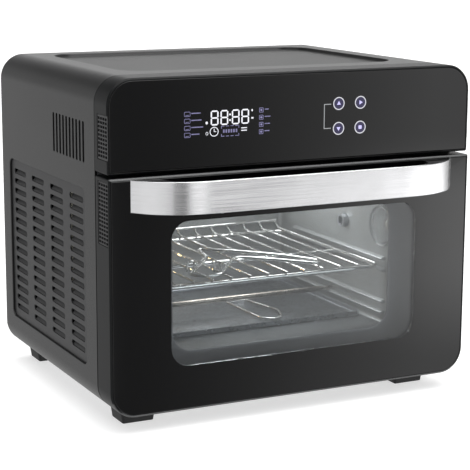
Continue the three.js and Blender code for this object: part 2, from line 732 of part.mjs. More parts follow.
for (const [name, side] of SIDES) {
  piece("lower_grille_" + name, grillePlate(side, LOWER_GRILLE), SHELL_GREY, doorGroup);
  piece(
    "hinge_pin_" + name,
    sideRodX(side, HINGE.pinR, HINGE.x - 10.5, HINGE.x + 10.5, HINGE.y, HINGE.z, 12),
    PLATED_STEEL,
    doorGroup,
  );
  const screw = screwRod(side, 2, -8, 7).add(screwRod(side, 4, 6.3, 8.8, 12));
  piece("handle_screw_" + name, screw, PLATED_STEEL, doorGroup);

  // Stay: an arc about the hinge axis that slides through a slot in the front frame.
  const first = (-6 * Math.PI) / 180;
  const last = (78 * Math.PI) / 180;
  const arc = new THREE.Shape();
  arc.absarc(HINGE.y, HINGE.z, STAY.outer, first, last, false);
  arc.absarc(HINGE.y, HINGE.z, STAY.inner, last, first, true);
  const [x0, x1] = [STAY.x - STAY.thick / 2, STAY.x + STAY.thick / 2];
  const blade = side < 0 ? alongX(arc, -x1, -x0, 7) : alongX(arc, x0, x1, 7);
  const tab = sideBox(side, STAY.x - 5, STAY.x + 5, 29.5, 31.4, 68, 86);
  piece("door_stay_" + name, blade.add(tab), PLATED_STEEL, doorGroup);
}

// Handle: a steel strap bowed off the door, with a black core behind it that carries the screws.
const HANDLE_BOW = [
  [-179.6, 1.5], [-176, -3.3], [-170, -10.9], [-164, -17], [-157.7, -21.6], [-151, -25.5],
  [-144, -28.8], [-135, -32], [-124, -34.2], [-111, -35.3], [-90, -HANDLE.reach],
];

// The bow's left half moved inwards by an offset, then mirrored.
function bowLine(offset) {
  const half = HANDLE_BOW.map(([x, y], i) => {
    const [x0, y0] = HANDLE_BOW[Math.max(i - 1, 0)];
    const [x1, y1] = i < HANDLE_BOW.length - 1 ? HANDLE_BOW[i + 1] : [x + 1, y];
    const length = Math.hypot(x1 - x0, y1 - y0);
    return [x - ((y1 - y0) * offset) / length, y + ((x1 - x0) * offset) / length];
  });
  const whole = [...half, ...half.map(([x, y]) => [-x, y]).reverse()];
  return whole.map(([x, y]) => new THREE.Vector2(x, y));
}

// Cuts away what would reach into the door's glass.
const clearOfGlass = (body) => body.subtract(box(-HALF, HALF, -GAP, 20, 0, HEIGHT));

function handleBar() {
  const section = new THREE.Shape([...bowLine(0), ...bowLine(HANDLE.strap).reverse()]);
  return clearOfGlass(alongZ(section, HANDLE.bottom, HANDLE.top));
}
piece("handle_bar", handleBar(), BRUSHED_STEEL, doorGroup);

// Its back is hollowed out between two arms, so that fingers fit behind the bar.
function handleCore() {
  const middle = 6 - HANDLE.reach;
  const hollow = [
    [-146, 2],
    [-142, -15],
    [-131, -22],
    [-106, middle],
    [106, middle],
    [131, -22],
    [142, -15],
    [146, 2],
  ].map(([x, y]) => new THREE.Vector2(x, y));
  const [low, high] = [HANDLE.bottom + 1.5, HANDLE.top - 1.5];
  const front = alongZ(new THREE.Shape(bowLine(HANDLE.strap + GAP)), low, high);
  const core = clearOfGlass(front).subtract(alongZ(new THREE.Shape(hollow), low - 1, high + 1));
  return cut(
    core,
    SIDES.map(([, side]) => screwRod(side, 2.3, -9, 1)),
  );
}
piece("handle_core", handleCore(), BLACK_PLASTIC, doorGroup);

// ---- Whole object -------------------------------------------------------------------------------
oven.position.set(0, -(DEPTH - HANDLE.reach) / 2, FOOT_HEIGHT);

export default oven;
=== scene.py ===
from functools import partial
from math import cos, pi, radians, sin

import bmesh
import bpy
from mathutils import Matrix, Vector


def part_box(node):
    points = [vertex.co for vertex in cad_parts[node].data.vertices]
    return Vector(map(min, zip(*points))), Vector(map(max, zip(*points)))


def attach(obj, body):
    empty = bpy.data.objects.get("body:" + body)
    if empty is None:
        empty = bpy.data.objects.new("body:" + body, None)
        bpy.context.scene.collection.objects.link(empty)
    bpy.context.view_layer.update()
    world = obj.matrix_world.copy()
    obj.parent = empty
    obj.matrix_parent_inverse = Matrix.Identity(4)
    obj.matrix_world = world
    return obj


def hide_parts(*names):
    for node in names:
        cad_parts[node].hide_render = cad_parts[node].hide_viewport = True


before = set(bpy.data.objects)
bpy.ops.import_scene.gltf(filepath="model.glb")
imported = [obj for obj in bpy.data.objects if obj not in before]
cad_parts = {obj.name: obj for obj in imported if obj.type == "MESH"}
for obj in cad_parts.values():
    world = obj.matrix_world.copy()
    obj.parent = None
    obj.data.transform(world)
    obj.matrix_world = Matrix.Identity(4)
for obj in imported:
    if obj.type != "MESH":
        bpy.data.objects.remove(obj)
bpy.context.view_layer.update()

SCENE = bpy.context.scene
MM = 0.001
ORIGIN = Vector((0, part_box("door_frame")[0].y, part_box("door_frame")[0].z))
PLACE = Matrix.Translation(ORIGIN) @ Matrix.Scale(MM, 4)
SIDES = (("left", -1), ("right", 1))
OVEN = "oven_body"


def span(node):
    """A CAD node's box in millimetres: x0, x1, y0, y1, z0, z1."""
    low, high = ((corner - ORIGIN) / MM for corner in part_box(node))
    return low.x, high.x, low.y, high.y, low.z, high.z


def centre(node):
    x0, x1, y0, y1, z0, z1 = span(node)
    return (x0 + x1) / 2, (y0 + y1) / 2, (z0 + z1) / 2


# ---- Mesh helpers ----
def rounded(x0, x1, z0, z1, radii, inset=0.0, steps=8):
    """A rounded rectangle's points, anticlockwise, with its radii from the lower left corner on."""
    radii = radii if isinstance(radii, tuple) else (radii,) * 4
    x0, x1, z0, z1 = x0 + inset, x1 - inset, z0 + inset, z1 - inset
    corners = ((x0, z0, 1, 1), (x1, z0, -1, 1), (x1, z1, -1, -1), (x0, z1, 1, -1))
    points = []
    for quarter, ((x, z, right, up), radius) in enumerate(zip(corners, radii)):
        r = max(radius - inset, 0.12)
        for k in range(steps + 1):
            angle = pi + (quarter + k / steps) * pi / 2
            points.append((x + right * r + r * cos(angle), z + up * r + r * sin(angle)))
    return points


def quarter_turn(steps):
    """Angles from 0 to a right angle."""
    return [pi / 2 * k / steps for k in range(steps + 1)]


def ellipse(x, z, rx, rz, sides=32):
    turn = [2 * pi * k / sides for k in range(sides)]
    return [(x + rx * cos(a), z + rz * sin(a)) for a in turn]


def slot_at(u, v, half_u, half_v, radius, steps=4):
    """A rounded slot's outline, as a function of its inset."""
    return lambda i: rounded(u - half_u, u + half_u, v - half_v, v + half_v, radius, i, steps)


def circle_at(u, v, radius, sides=32):
    """A circle's outline, as a function of its inset."""
    return lambda i: ellipse(u, v, radius - i, radius - i, sides)


def across_x(points, x):
    return [(x, u, v) for u, v in points]


def across_y(points, y):
    return [(u, y, v) for u, v in points]


def across_z(points, z):
    return [(u, v, z) for u, v in points]


def add_loft(bm, rings, closed=False):
    """Skins rings of equal length. An open run is capped; a closed one joins its last ring to its first."""
    loops = [[bm.verts.new(p) for p in ring] for ring in rings]
    count = len(loops[0])
    for near, far in zip(loops, loops[1:] + (loops[:1] if closed else [])):
        for i in range(count):
            j = (i + 1) % count
            bm.faces.new((near[i], near[j], far[j], far[i]))
    if not closed:
        bm.faces.new(loops[0][::-1])
        bm.faces.new(loops[-1])


def slab_rings(outline, low, high, edge, across, steps=3):
    """Rings of a slab whose outline(inset) runs from low to high with both edges rounded."""
    turn = [(edge * (1 - sin(a)), edge * (1 - cos(a))) for a in quarter_turn(steps)]
    near = [across(outline(inset), low + rise) for inset, rise in turn]
    far = [across(outline(inset), high - rise) for inset, rise in reversed(turn)]
    return near + far


def add_slab(bm, outline, low, high, edge, across=across_y):
    add_loft(bm, slab_rings(outline, low, high, edge, across))


def add_band(bm, profile, outline, across=across_y):
    """A closed ring of material: profile lists (inset, height) all the way round its section."""
    add_loft(bm, [across(outline(inset), height) for inset, height in profile], closed=True)


def add_box(bm, x0, x1, y0, y1, z0, z1, edge=0.4):
    add_slab(bm, lambda i: rounded(x0, x1, z0, z1, edge, i, 2), y0, y1, edge)


def bent(points, bend, steps=5):
    """The points with each inner corner turned on a small curve."""
    points = [Vector(p) for p in points]
    path = [points[0]]
    for before, here, after in zip(points, points[1:], points[2:]):
        start = here + (before - here).normalized() * min(bend, (before - here).length * 0.49)
        end = here + (after - here).normalized() * min(bend, (after - here).length * 0.49)
        for k in range(steps + 1):
            t = k / steps
            path.append(start.lerp(here, t).lerp(here.lerp(end, t), t))
    return path + [points[-1]]


def smoothed(points, steps=8):
    """A Catmull-Rom curve through the points."""
    points = [Vector(p) for p in points]
    ends = [2 * points[0] - points[1]] + points + [2 * points[-1] - points[-2]]
    path = []
    for a, b, c, d in zip(ends, ends[1:], ends[2:], ends[3:]):
        for k in range(steps):
            t = k / steps
            curve = (2 * a - 5 * b + 4 * c - d) * t**2 + (3 * b - a - 3 * c + d) * t**3
            path.append(0.5 * (2 * b + (c - a) * t + curve))
    return path + [points[-1]]


def add_tube(bm, path, radius, closed=False, sides=12, dome=3):
    """A round wire along the path, with domed ends unless it is closed."""
    path = [Vector(p) for p in path]
    count = len(path)
    tangents = []
    for i in range(count):
        before = path[i - 1] if closed or i else path[0]
        after = path[(i + 1) % count] if closed or i < count - 1 else path[-1]
        tangents.append((after - before).normalized())
    normal = tangents[0].orthogonal().normalized()
    rings = []
    for i, (centre, tangent) in enumerate(zip(path, tangents)):
        normal = (normal - tangent * normal.dot(tangent)).normalized()
        side = tangent.cross(normal)
        spots = [(0, 1)]
        if not closed and i in (0, count - 1):
            arc = [pi / 2 * k / dome for k in range(dome)]
            spots = [(sin(a), cos(a)) for a in arc]
            if i == 0:
                spots = [(-along, size) for along, size in reversed(spots)]
        for along, size in spots:
            middle = centre + tangent * along * radius
            around = [2 * pi * k / sides for k in range(sides)]
            rings.append([middle + (normal * cos(a) + side * sin(a)) * radius * size for a in around])
    add_loft(bm, rings, closed)


def add_plate(bm, outer, holes, thickness, edge, place):
    """A flat plate with holes and rounded edges. outer and holes are functions of an inset or a growth."""
    curve = bpy.data.curves.new("plate", "CURVE")
    curve.dimensions = "2D"
    curve.fill_mode = "BOTH"
    curve.extrude = thickness / 2 - edge
    curve.bevel_depth = edge
    curve.bevel_resolution = 1
    for points in [outer(edge)] + [hole(-edge) for hole in holes]:
        spline = curve.splines.new("POLY")
        spline.points.add(len(points) - 1)
        for spot, (u, v) in zip(spline.points, points):
            spot.co = (u, v, 0, 1)
        spline.use_cyclic_u = True
    holder = linked("plate", curve)
    shape = evaluated_mesh(holder)
    sheet = bmesh.new()
    sheet.from_mesh(shape)
    bmesh.ops.remove_doubles(sheet, verts=sheet.verts, dist=0.002)
    for vert in sheet.verts:
        vert.co = place(*vert.co)
    made = bpy.data.meshes.new("plate")
    sheet.to_mesh(made)
    sheet.free()
    bm.from_mesh(made)
    bpy.data.objects.remove(holder)
    for unused, store in ((shape, bpy.data.meshes), (made, bpy.data.meshes), (curve, bpy.data.curves)):
        store.remove(unused)


def linked(name, data):
    obj = bpy.data.objects.new(name, data)
    SCENE.collection.objects.link(obj)
    return obj


def evaluated_mesh(obj):
    return bpy.data.meshes.new_from_object(obj.evaluated_get(bpy.context.evaluated_depsgraph_get()))


def object_from(name, build):
    """A new object of what build(bm) draws in millimetres."""
    bm = bmesh.new()
    build(bm)
    bmesh.ops.recalc_face_normals(bm, faces=bm.faces)
    bm.transform(PLACE)
    mesh = bpy.data.meshes.new(name)
    bm.to_mesh(mesh)
    bm.free()
    return linked(name, mesh)


def combine(obj, build_tool, operation):
    """Cuts or joins what build_tool(bm) draws."""
    tool = object_from("tool", build_tool)
    step = obj.modifiers.new("combine", "BOOLEAN")
    step.object = tool
    step.operation = operation
    step.solver = "EXACT"
    bpy.context.view_layer.update()
    result = evaluated_mesh(obj)
    obj.modifiers.clear()
    old = obj.data
    obj.data = result
    bpy.data.meshes.remove(old)
    bpy.data.objects.remove(tool)


def soften(obj):
    """Smooth shading that keeps sharp corners and keeps big flat faces flat."""
    obj.data.shade_smooth()
    obj.data.set_sharp_from_angle(angle=radians(32))
    obj.modifiers.new("flat_faces", "WEIGHTED_NORMAL").keep_sharp = True


def piece(name, build, body, slot, material, *replaced, joins=(), cuts=(), paints=()):
    """Draws a piece, joins and cuts it, and gives it its finish and body; slot is not used. paints lists
    second finishes with a test of a face's centre, in the oven's millimetres, and its normal."""
    obj = object_from(name, build)
    for build_tool in joins:
        combine(obj, build_tool, "UNION")
    for build_tool in cuts:
        combine(obj, build_tool, "DIFFERENCE")
    soften(obj)
    obj.data.materials.clear()
    obj.data.materials.append(material)
    for index, (finish, chosen) in enumerate(paints, 1):
        obj.data.materials.append(finish)
        for face in obj.data.polygons:
            if chosen((face.center - ORIGIN) / MM, face.normal):
                face.material_index = index
    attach(obj, body)
    if replaced:
        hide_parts(*replaced)


# ---- Materials ----
def start_material(name):
    material = bpy.data.materials.new(name)
    material.use_nodes = True
    tree = material.node_tree
    return material, tree, tree.nodes["Principled BSDF"]


def add_node(tree, kind, **values):
    node = tree.nodes.new("ShaderNode" + kind)
    for key, value in values.items():
        setattr(node, key, value)
    return node


def feed(tree, socket, value):
    """Sets a socket to a number or a colour, or links another socket to it."""
    if isinstance(value, bpy.types.NodeSocket):
        tree.links.new(value, socket)
    else:
        socket.default_value = (*value, 1) if isinstance(value, tuple) else value


def noise(tree, vector, scale, detail=3.0):
    node = add_node(tree, "TexNoise")
    for key, value in (("Scale", scale), ("Detail", detail), ("Vector", vector)):
        feed(tree, node.inputs[key], value)
    return node.outputs["Fac"]


def map_range(tree, value, low, high, to_low, to_high):
    node = add_node(tree, "MapRange", interpolation_type="SMOOTHSTEP")
    for key, number in zip(("From Min", "From Max", "To Min", "To Max"), (low, high, to_low, to_high)):
        node.inputs[key].default_value = number
    tree.links.new(value, node.inputs["Value"])
    return node.outputs["Result"]


def math(tree, operation, *values):
    node = add_node(tree, "Math", operation=operation)
    for socket, value in zip(node.inputs, values):
        feed(tree, socket, value)
    return node.outputs[0]


def blend(tree, factor, first, second):
    """A number that goes from first to second as factor goes from 0 to 1."""
    node = add_node(tree, "Mix", data_type="FLOAT")
    for index, value in ((0, factor), (2, first), (3, second)):
        feed(tree, node.inputs[index], value)
    return node.outputs[0]


def mix_colours(tree, factor, first, second):
    node = add_node(tree, "Mix", data_type="RGBA")
    for index, value in ((0, factor), (6, first), (7, second)):
        feed(tree, node.inputs[index], value)
    return node.outputs[2]


def surface(name, base, rough, metallic=0.0, cloud=(14, 0.08), grain=(900, 0.02), stretch=(1, 1, 1),
            spread=0.05, **sockets):
    """A finish with cloudy colour, uneven gloss and a fine relief. grain is (per metre, depth in mm)."""
    material, tree, shader = start_material(name)
    where = add_node(tree, "TexCoord").outputs["Object"]
    stretched = add_node(tree, "Mapping")
    stretched.inputs["Scale"].default_value = stretch
    tree.links.new(where, stretched.inputs["Vector"])
    clouds = noise(tree, where, cloud[0])
    fine = noise(tree, stretched.outputs["Vector"], grain[0], 2.0)
    dark, light = (tuple(c * (1 + k * cloud[1]) for c in base) for k in (-1, 1))
    colour = mix_colours(tree, map_range(tree, clouds, 0.3, 0.7, 0, 1), dark, light)
    tree.links.new(colour, shader.inputs["Base Color"])
    gloss = map_range(tree, fine, 0.3, 0.7, rough - spread, rough + spread)
    tree.links.new(gloss, shader.inputs["Roughness"])
    relief = add_node(tree, "Bump")
    relief.inputs["Distance"].default_value = grain[1] * MM
    tree.links.new(fine, relief.inputs["Height"])
    tree.links.new(relief.outputs["Normal"], shader.inputs["Normal"])
    shader.inputs["Metallic"].default_value = metallic
    for key, value in sockets.items():
        shader.inputs[key.replace("_", " ")].default_value = value
    return material


def pane_material(name, tint, dust):
    """Thin flat glass: clear straight through, with a mirror that grows towards grazing angles."""
    material, tree, shader = start_material(name)
    tree.nodes.remove(shader)

    def layer(kind, **values):
        node = add_node(tree, kind)
        for key, value in values.items():
            feed(tree, node.inputs[key], value)
        return node.outputs[0]

    def mixed(factor, first, second):
        node = add_node(tree, "MixShader")
        for socket, value in zip(node.inputs, (factor, first, second)):
            feed(tree, socket, value)
        return node.outputs[0]

    facing = add_node(tree, "LayerWeight")
    mirror = map_range(tree, math(tree, "POWER", facing.outputs["Facing"], 5.0), 0, 1, 0.042, 1)
    where = add_node(tree, "TexCoord").outputs["Object"]
    film = map_range(tree, noise(tree, where, 25), 0.35, 0.75, dust * 0.6, dust)
    haze = layer("BsdfDiffuse", Color=(0.7, 0.72, 0.73))
    veiled = mixed(film, layer("BsdfTransparent", Color=tint), haze)
    both = mixed(mirror, veiled, layer("BsdfGlossy", Roughness=0.02))
    tree.links.new(both, tree.nodes["Material Output"].inputs["Surface"])
    return material


def glow(name, colour, strength, mottle=0.12):
    """A lit print, a little uneven as a light guide is."""
    material, tree, shader = start_material(name)
    where = add_node(tree, "TexCoord").outputs["Object"]
    uneven = map_range(tree, noise(tree, where, 600), 0.3, 0.7, 0, 1)
    dim = tuple(c * (1 - mottle) for c in colour)
    tree.links.new(mix_colours(tree, uneven, dim, colour), shader.inputs["Emission Color"])
    shader.inputs["Base Color"].default_value = (0.02, 0.02, 0.025, 1)
    shader.inputs["Emission Strength"].default_value = strength
    shader.inputs["Roughness"].default_value = 0.15
    return material


SHELL = surface("shell_paint", (0.0065, 0.0066, 0.0068), 0.32, cloud=(9, 0.15), grain=(2400, 0.012))
LOUVRE = surface("louvre_plastic", (0.022, 0.022, 0.023), 0.45, grain=(2400, 0.02))
VANE = surface("louvre_vane_plastic", (0.045, 0.045, 0.046), 0.5, grain=(2400, 0.02))
# Painted shadow: a near-black, dull finish painted where shade falls, along the casing's front edge at its
# seam and in the pockets behind the mesh strips.
SEAM_SHADOW = surface("seam_shadow", (0.002, 0.002, 0.002), 0.6, grain=(1800, 0.008), Specular_IOR_Level=0.1)
# Painted highlight: a lighter finish painted on the top and bottom rims of the mouldings.
LIP_HIGHLIGHT = surface("moulding_edge_highlight", (0.040, 0.041, 0.042), 0.30, grain=(1800, 0.008))
RECESS_FLOOR = surface("recess_floor_paint", (0.026, 0.0262, 0.0262), 0.40, cloud=(9, 0.15),
    grain=(2400, 0.02))
MOULDING = surface("frame_moulding", (0.0035, 0.0038, 0.0042), 0.34, grain=(1800, 0.008),
    Specular_IOR_Level=0.15)
BLACK_GLASS = surface("black_glass", (0.0010, 0.0010, 0.0012), 0.03, cloud=(6, 0.2), grain=(40, 0.002),
    spread=0.012)
CLEAR = pane_material("door_pane", (0.91, 0.925, 0.93), dust=0.012)
INNER_CLEAR = pane_material("inner_pane", (0.90, 0.912, 0.918), dust=0.016)
BRUSHED = surface("brushed_handle", (0.63, 0.63, 0.64), 0.21, 1.0, cloud=(30, 0.03), grain=(220, 0.004),
    stretch=(0.06, 0.06, 8), spread=0.05, Anisotropic=0.7)
GLOSS_BLACK = surface("gloss_black_plastic", (0.004, 0.004, 0.0045), 0.14, grain=(300, 0.002), spread=0.03)
SATIN_BLACK = surface("satin_black_plastic", (0.006, 0.006, 0.0065), 0.5, grain=(1600, 0.015),
    Specular_IOR_Level=0.3)
RUBBER = surface("black_rubber", (0.012, 0.012, 0.012), 0.8, grain=(1200, 0.03))
SILICONE = surface("seal_silicone", (0.035, 0.037, 0.040), 0.62, grain=(700, 0.01))
LINER = surface("liner_sheet", (0.33, 0.335, 0.33), 0.40, 0.6, cloud=(9, 0.12), grain=(220, 0.012),
    stretch=(6, 1, 1))
# Painted shade: a darker copy of the liner finish, painted on the cavity floor where it shows in front of
# the crumb tray.
LINER_FLOOR_SHADE = surface("liner_floor_shade", (0.085, 0.088, 0.09), 0.45, 0.4, cloud=(9, 0.12), grain=(220, 0.012),
    stretch=(6, 1, 1))
PANEL = surface("panel_paint", (0.060, 0.062, 0.067), 0.42, 0.2, grain=(1500, 0.01))
CHROME = surface("bright_wire", (0.80, 0.79, 0.77), 0.10, 0.88, cloud=(60, 0.05), grain=(500, 0.004),
    spread=0.03)
HEATER = surface("heater_sheath", (0.30, 0.27, 0.24), 0.30, 1.0, cloud=(25, 0.35), grain=(700, 0.01))
PLATED = surface("zinc_plate", (0.46, 0.47, 0.49), 0.34, 1.0, cloud=(35, 0.12), grain=(260, 0.01))
TRAY = surface("tray_sheet", (0.33, 0.34, 0.36), 0.30, 1.0, cloud=(18, 0.15), grain=(200, 0.012),
    stretch=(1, 14, 1))
MOTOR = surface("motor_can", (0.22, 0.23, 0.24), 0.45, 0.6, grain=(900, 0.01))
BOARD = surface("circuit_board", (0.020, 0.10, 0.045), 0.4, cloud=(260, 0.5), grain=(500, 0.03))
WOOL = surface("mineral_wool", (0.55, 0.52, 0.44), 0.95, cloud=(120, 0.2), grain=(1100, 0.6))
WHITE_PLASTIC = surface("white_plastic", (0.72, 0.72, 0.69), 0.4, grain=(1500, 0.01))
LAMP_PANE = pane_material("lamp_pane", (0.90, 0.90, 0.88), dust=0.30)
DIGIT_LIGHT = glow("digit_light", (0.93, 0.94, 1.0), 1.15)
ICON_LIGHT = glow("icon_light", (0.45, 0.42, 0.80), 0.55, 0.35)
RING_PRINT = glow("ring_print", (0.80, 0.80, 0.86), 0.95)
KEY_LIGHT = glow("key_light", (0.62, 0.58, 1.0), 1.2)
LINE_PRINT = glow("line_print", (0.42, 0.43, 0.44), 0.9)
BULB = glow("bulb_light", (1.0, 0.86, 0.62), 0.18)


def key_fill():
    """Violet light that fades out from the middle of a touch key."""
    material, tree, shader = start_material("key_fill")
    where = add_node(tree, "TexCoord").outputs["Generated"]
    centred = add_node(tree, "VectorMath", operation="SUBTRACT")
    centred.inputs[1].default_value = (0.5, 0.5, 0.5)
    tree.links.new(where, centred.inputs[0])
    distance = add_node(tree, "VectorMath", operation="LENGTH")
    tree.links.new(centred.outputs[0], distance.inputs[0])
    fade = map_range(tree, distance.outputs["Value"], 0.05, 0.5, 0, 1)
    colour = mix_colours(tree, fade, (0.085, 0.060, 0.26), (0.018, 0.014, 0.060))
    tree.links.new(colour, shader.inputs["Emission Color"])
    shader.inputs["Base Color"].default_value = (0.01, 0.01, 0.015, 1)
    shader.inputs["Emission Strength"].default_value = 1.0
    shader.inputs["Roughness"].default_value = 0.1
    return material


KEY_FILL = key_fill()

# ---- Casing ----
CORNER_R = 26
SHELL_WALL = 2
SHELL_X0, SHELL_X1, SHELL_Y0, SHELL_Y1, SHELL_Z0, SHELL_Z1 = span("outer_shell")
DOOR_TOP = span("door_frame")[5]
PANEL_BOTTOM = span("control_housing")[4]
RECESS = (-154, 154, 66, 292)
RECESS_R = 28
RECESS_DEPTH = 3.5
RECESS_FLOOR_Z = SHELL_Z1 - RECESS_DEPTH
LOUVRE_WINDOW = (62.5, 291, 38.5, 214.5)
SIDE_SLOT_Y, SIDE_SLOT_PITCH, SIDE_SLOTS = 64.4, 9.2, 10
LOUVRE_Z, LOUVRE_PITCH, LOUVRES = 51, 10.75, 15
REAR_SLOT_Z, REAR_SLOT_PITCH, REAR_SLOTS = 180, 12, 9


def front_outline(inset):
    return rounded(SHELL_X0, SHELL_X1, SHELL_Z0, SHELL_Z1, CORNER_R, inset, 12)


def flared(outline, surface_at, away, depth, radius, across, steps=4):
    """Rings of a cutter whose walls turn outwards on a radius where they meet a surface."""
    walls = [(0, surface_at - away * depth)]
    for a in quarter_turn(steps):
        walls.append((-radius * (1 - cos(a)), surface_at - away * radius * (1 - sin(a))))
    walls.append((-radius * 1.02, surface_at + away * 1.5))
    return [across(outline(inset), height) for inset, height in walls]


def shell_body(bm):
    front, back = 0.7, 2.5
    profile = [(front * (1 - sin(a)), SHELL_Y0 + front * (1 - cos(a))) for a in quarter_turn(3)]
    profile += [(back * (1 - cos(a)), SHELL_Y1 - back * (1 - sin(a))) for a in quarter_turn(4)[:-1]]
    profile += [(SHELL_WALL + 0.6, SHELL_Y1), (SHELL_WALL, SHELL_Y1 - 0.6), (SHELL_WALL, SHELL_Y0 + 0.4)]
    add_band(bm, profile, front_outline)


def shell_padding(bm):
    x0, x1, y0, y1 = RECESS
    under = RECESS_FLOOR_Z - SHELL_WALL
    add_slab(bm, lambda i: rounded(x0 - 3, x1 + 3, y0 - 3, y1 + 3, RECESS_R + 3, i, 12),
        under, SHELL_Z1 - 1, 0.4, across_z)


def shell_cuts(bm):
    def recess(inset):
        return rounded(*RECESS, RECESS_R, inset, 14)

    rings = flared(recess, SHELL_Z1, 1, RECESS_DEPTH - 1, 1.3, across_z)
    add_loft(bm, [across_z(recess(1), RECESS_FLOOR_Z), across_z(recess(0.3), RECESS_FLOOR_Z + 0.3)] + rings)
    for side in (-1, 1):
        for k in range(SIDE_SLOTS):
            slot = slot_at(SIDE_SLOT_Y + SIDE_SLOT_PITCH * k, 259.75, 2.2, 19.75, 1.2, 3)
            add_loft(bm, flared(slot, side * SHELL_X1, side, 4, 0.35, across_x, 2))
        window = lambda i: rounded(*LOUVRE_WINDOW, 8, i, 6)
        add_loft(bm, flared(window, side * SHELL_X1, side, 4, 0.8, across_x))
    add_box(bm, -165, 165, 60, 290, SHELL_Z0 - 2, SHELL_Z0 + 4, 1)


piece("casing", shell_body, OVEN, "shell_plastic", SHELL, "outer_shell", joins=[shell_padding],
    cuts=[shell_cuts], paints=[
        # painted shadow along the seam at the casing's front edge
        (SEAM_SHADOW, lambda spot, normal: spot.y < SHELL_Y0 + 0.75),
        (RECESS_FLOOR, lambda spot, normal: abs(spot.z - RECESS_FLOOR_Z) < 0.2 and normal.z > 0.9)])


def louvre_panel(bm, side):
    x0, x1, y0, y1, z0, z1 = span("vent_panel_right")
    slots, vanes = [], []
    for y in (92, 149, 206, 263):
        for row in range(LOUVRES):
            z = LOUVRE_Z + LOUVRE_PITCH * row
            slots.append(slot_at(y, z, 19, 2.8, 2.7))
            vanes.append((y, z))
    middle = side * (x0 + x1) / 2
    add_plate(bm, lambda i: rounded(y0, y1, z0, z1, 6, i, 4), slots, x1 - x0, 0.35,
        lambda u, v, w: (middle + w, u, v))
    for y, z in vanes:
        near, far = side * (x0 + 0.2), side * (x0 - 4)
        section = [(near, z - 3.4), (near, z - 2.5), (far, z + 2.9), (far, z + 1.9)]
        add_loft(bm, [[(x, end, height) for x, height in section] for end in (y - 18.6, y + 18.6)])


VANE_X = span("vent_panel_right")[0] + 0.1
for name, side in SIDES:
    build = partial(louvre_panel, side=side)
    piece("louvres_" + name, build, OVEN, "shell_plastic", LOUVRE, "vent_panel_" + name,
        paints=[(VANE, lambda spot, normal: abs(spot.x) < VANE_X)])


def rear_cover(bm):
    x0, x1, y0, y1, z0, z1 = span("rear_panel")
    holes = []
    for x in (-95, 95):
        for row in range(REAR_SLOTS):
            z = REAR_SLOT_Z + REAR_SLOT_PITCH * row
            holes.append(slot_at(x, z, 45, 2.5, 2.4))
    x, _, z = centre("cord_gland")
    holes.append(circle_at(x, z, 7))
    add_plate(bm, lambda i: rounded(x0, x1, z0, z1, CORNER_R - 2.4, i, 10), holes, y1 - y0, 0.3,
        lambda u, v, w: (u, (y0 + y1) / 2 + w, v))
    for x in (-176, 0, 176):
        for z in (30, 296):
            add_slab(bm, circle_at(x, z, 3.4, 20), y1 - 0.5, y1 + 1.5, 0.8)


piece("rear_cover", rear_cover, OVEN, "frame_plastic", MOULDING, "rear_panel")


def gland(bm):
    y1 = span("cord_gland")[3]
    x, _, z = centre("cord_gland")
    section = [(11, 315.3), (11, 316.2), (10.4, 316.8), (6, 317), (4.2, 316.9), (3.7, 316.4), (3.6, 305.2),
        (6.4, 305), (6.6, 306), (6.6, 315.3)]
    add_loft(bm, [across_y(ellipse(x, z, r, r), min(y, y1)) for r, y in section], closed=True)


piece("cord_gland_sleeve", gland, OVEN, "gland_rubber", RUBBER, "cord_gland")


def foot(bm, node):
    x0, x1, y0, y1, z0, z1 = span(node)
    levels = [(0, z1), (2.55, z0 + 0.8), (2.75, z0 + 0.25), (3.3, z0)]
    add_loft(bm, [across_z(rounded(x0, x1, y0, y1, 4.5, inset, 4), z) for inset, z in levels])


for end in ("front", "rear"):
    for name, side in SIDES:
        node = f"foot_{end}_{name}"
        piece(f"{end}_{name}_foot", partial(foot, node=node), OVEN, "black_plastic", SATIN_BLACK, node)


def front_plate(bm):
    x0, x1, y0, y1, z0, z1 = span("front_frame")
    holes = [slot_at(0, 124, 140, 80, 6, 6), slot_at(0, 280, 150, 30, 3, 3), circle_at(165, 217, 3.6, 20)]
    for side in (-1, 1):
        holes += [slot_at(side * 160, 13, 6, 6, 0.6, 2), slot_at(side * 174, 74.5, 2.2, 5.5, 0.6, 2)]
    add_plate(bm, lambda i: rounded(x0, x1, z0, z1, CORNER_R - 2.4, i, 10), holes, y1 - y0, 0.2,
        lambda u, v, w: (u, (y0 + y1) / 2 + w, v))


piece("front_plate", front_plate, OVEN, "panel_steel", PANEL, "front_frame")

# ---- Control panel ----
GRILLE_Y = (3, 27.5)
UPPER_GRILLE = (248.6, 291)
LOWER_GRILLE = (167.6, 228.1)
GLASS_INSET = 2.5
CELL_PITCH_Y, CELL_PITCH_Z = 5.9, 3.9


def grille_pockets(bm, z_range):
    for side in (-1, 1):
        pocket = lambda i: rounded(*GRILLE_Y, *z_range, 0.8, i, 3)
        rings = [(0, 1.6), (0, 0.2), (-0.2, 0), (-0.2, -1)]
        add_loft(bm, [across_x(pocket(i), side * (SHELL_X1 - depth)) for i, depth in rings])


def panel_outline(inset):
    return rounded(SHELL_X0, SHELL_X1, PANEL_BOTTOM, SHELL_Z1, (2, 2, CORNER_R, CORNER_R), inset, 12)


def lipped_frame(front, back, seat):
    """Section of a moulding: a chamfered rim round the glass, a ledge behind it and a wall to the back."""
    lip = GLASS_INSET - 0.35
    return [
        (0, back), (0, front + 1.7), (0.25, front + 1.1), (1.0, front + 0.35), (1.5, front + 0.15),
        (lip - 0.3, front), (lip - 0.1, front + 0.1), (lip, front + 0.3), (lip, seat), (14, seat),
        (14, seat + 2.3), (2.5, seat + 2.3), (2.5, back),
    ]


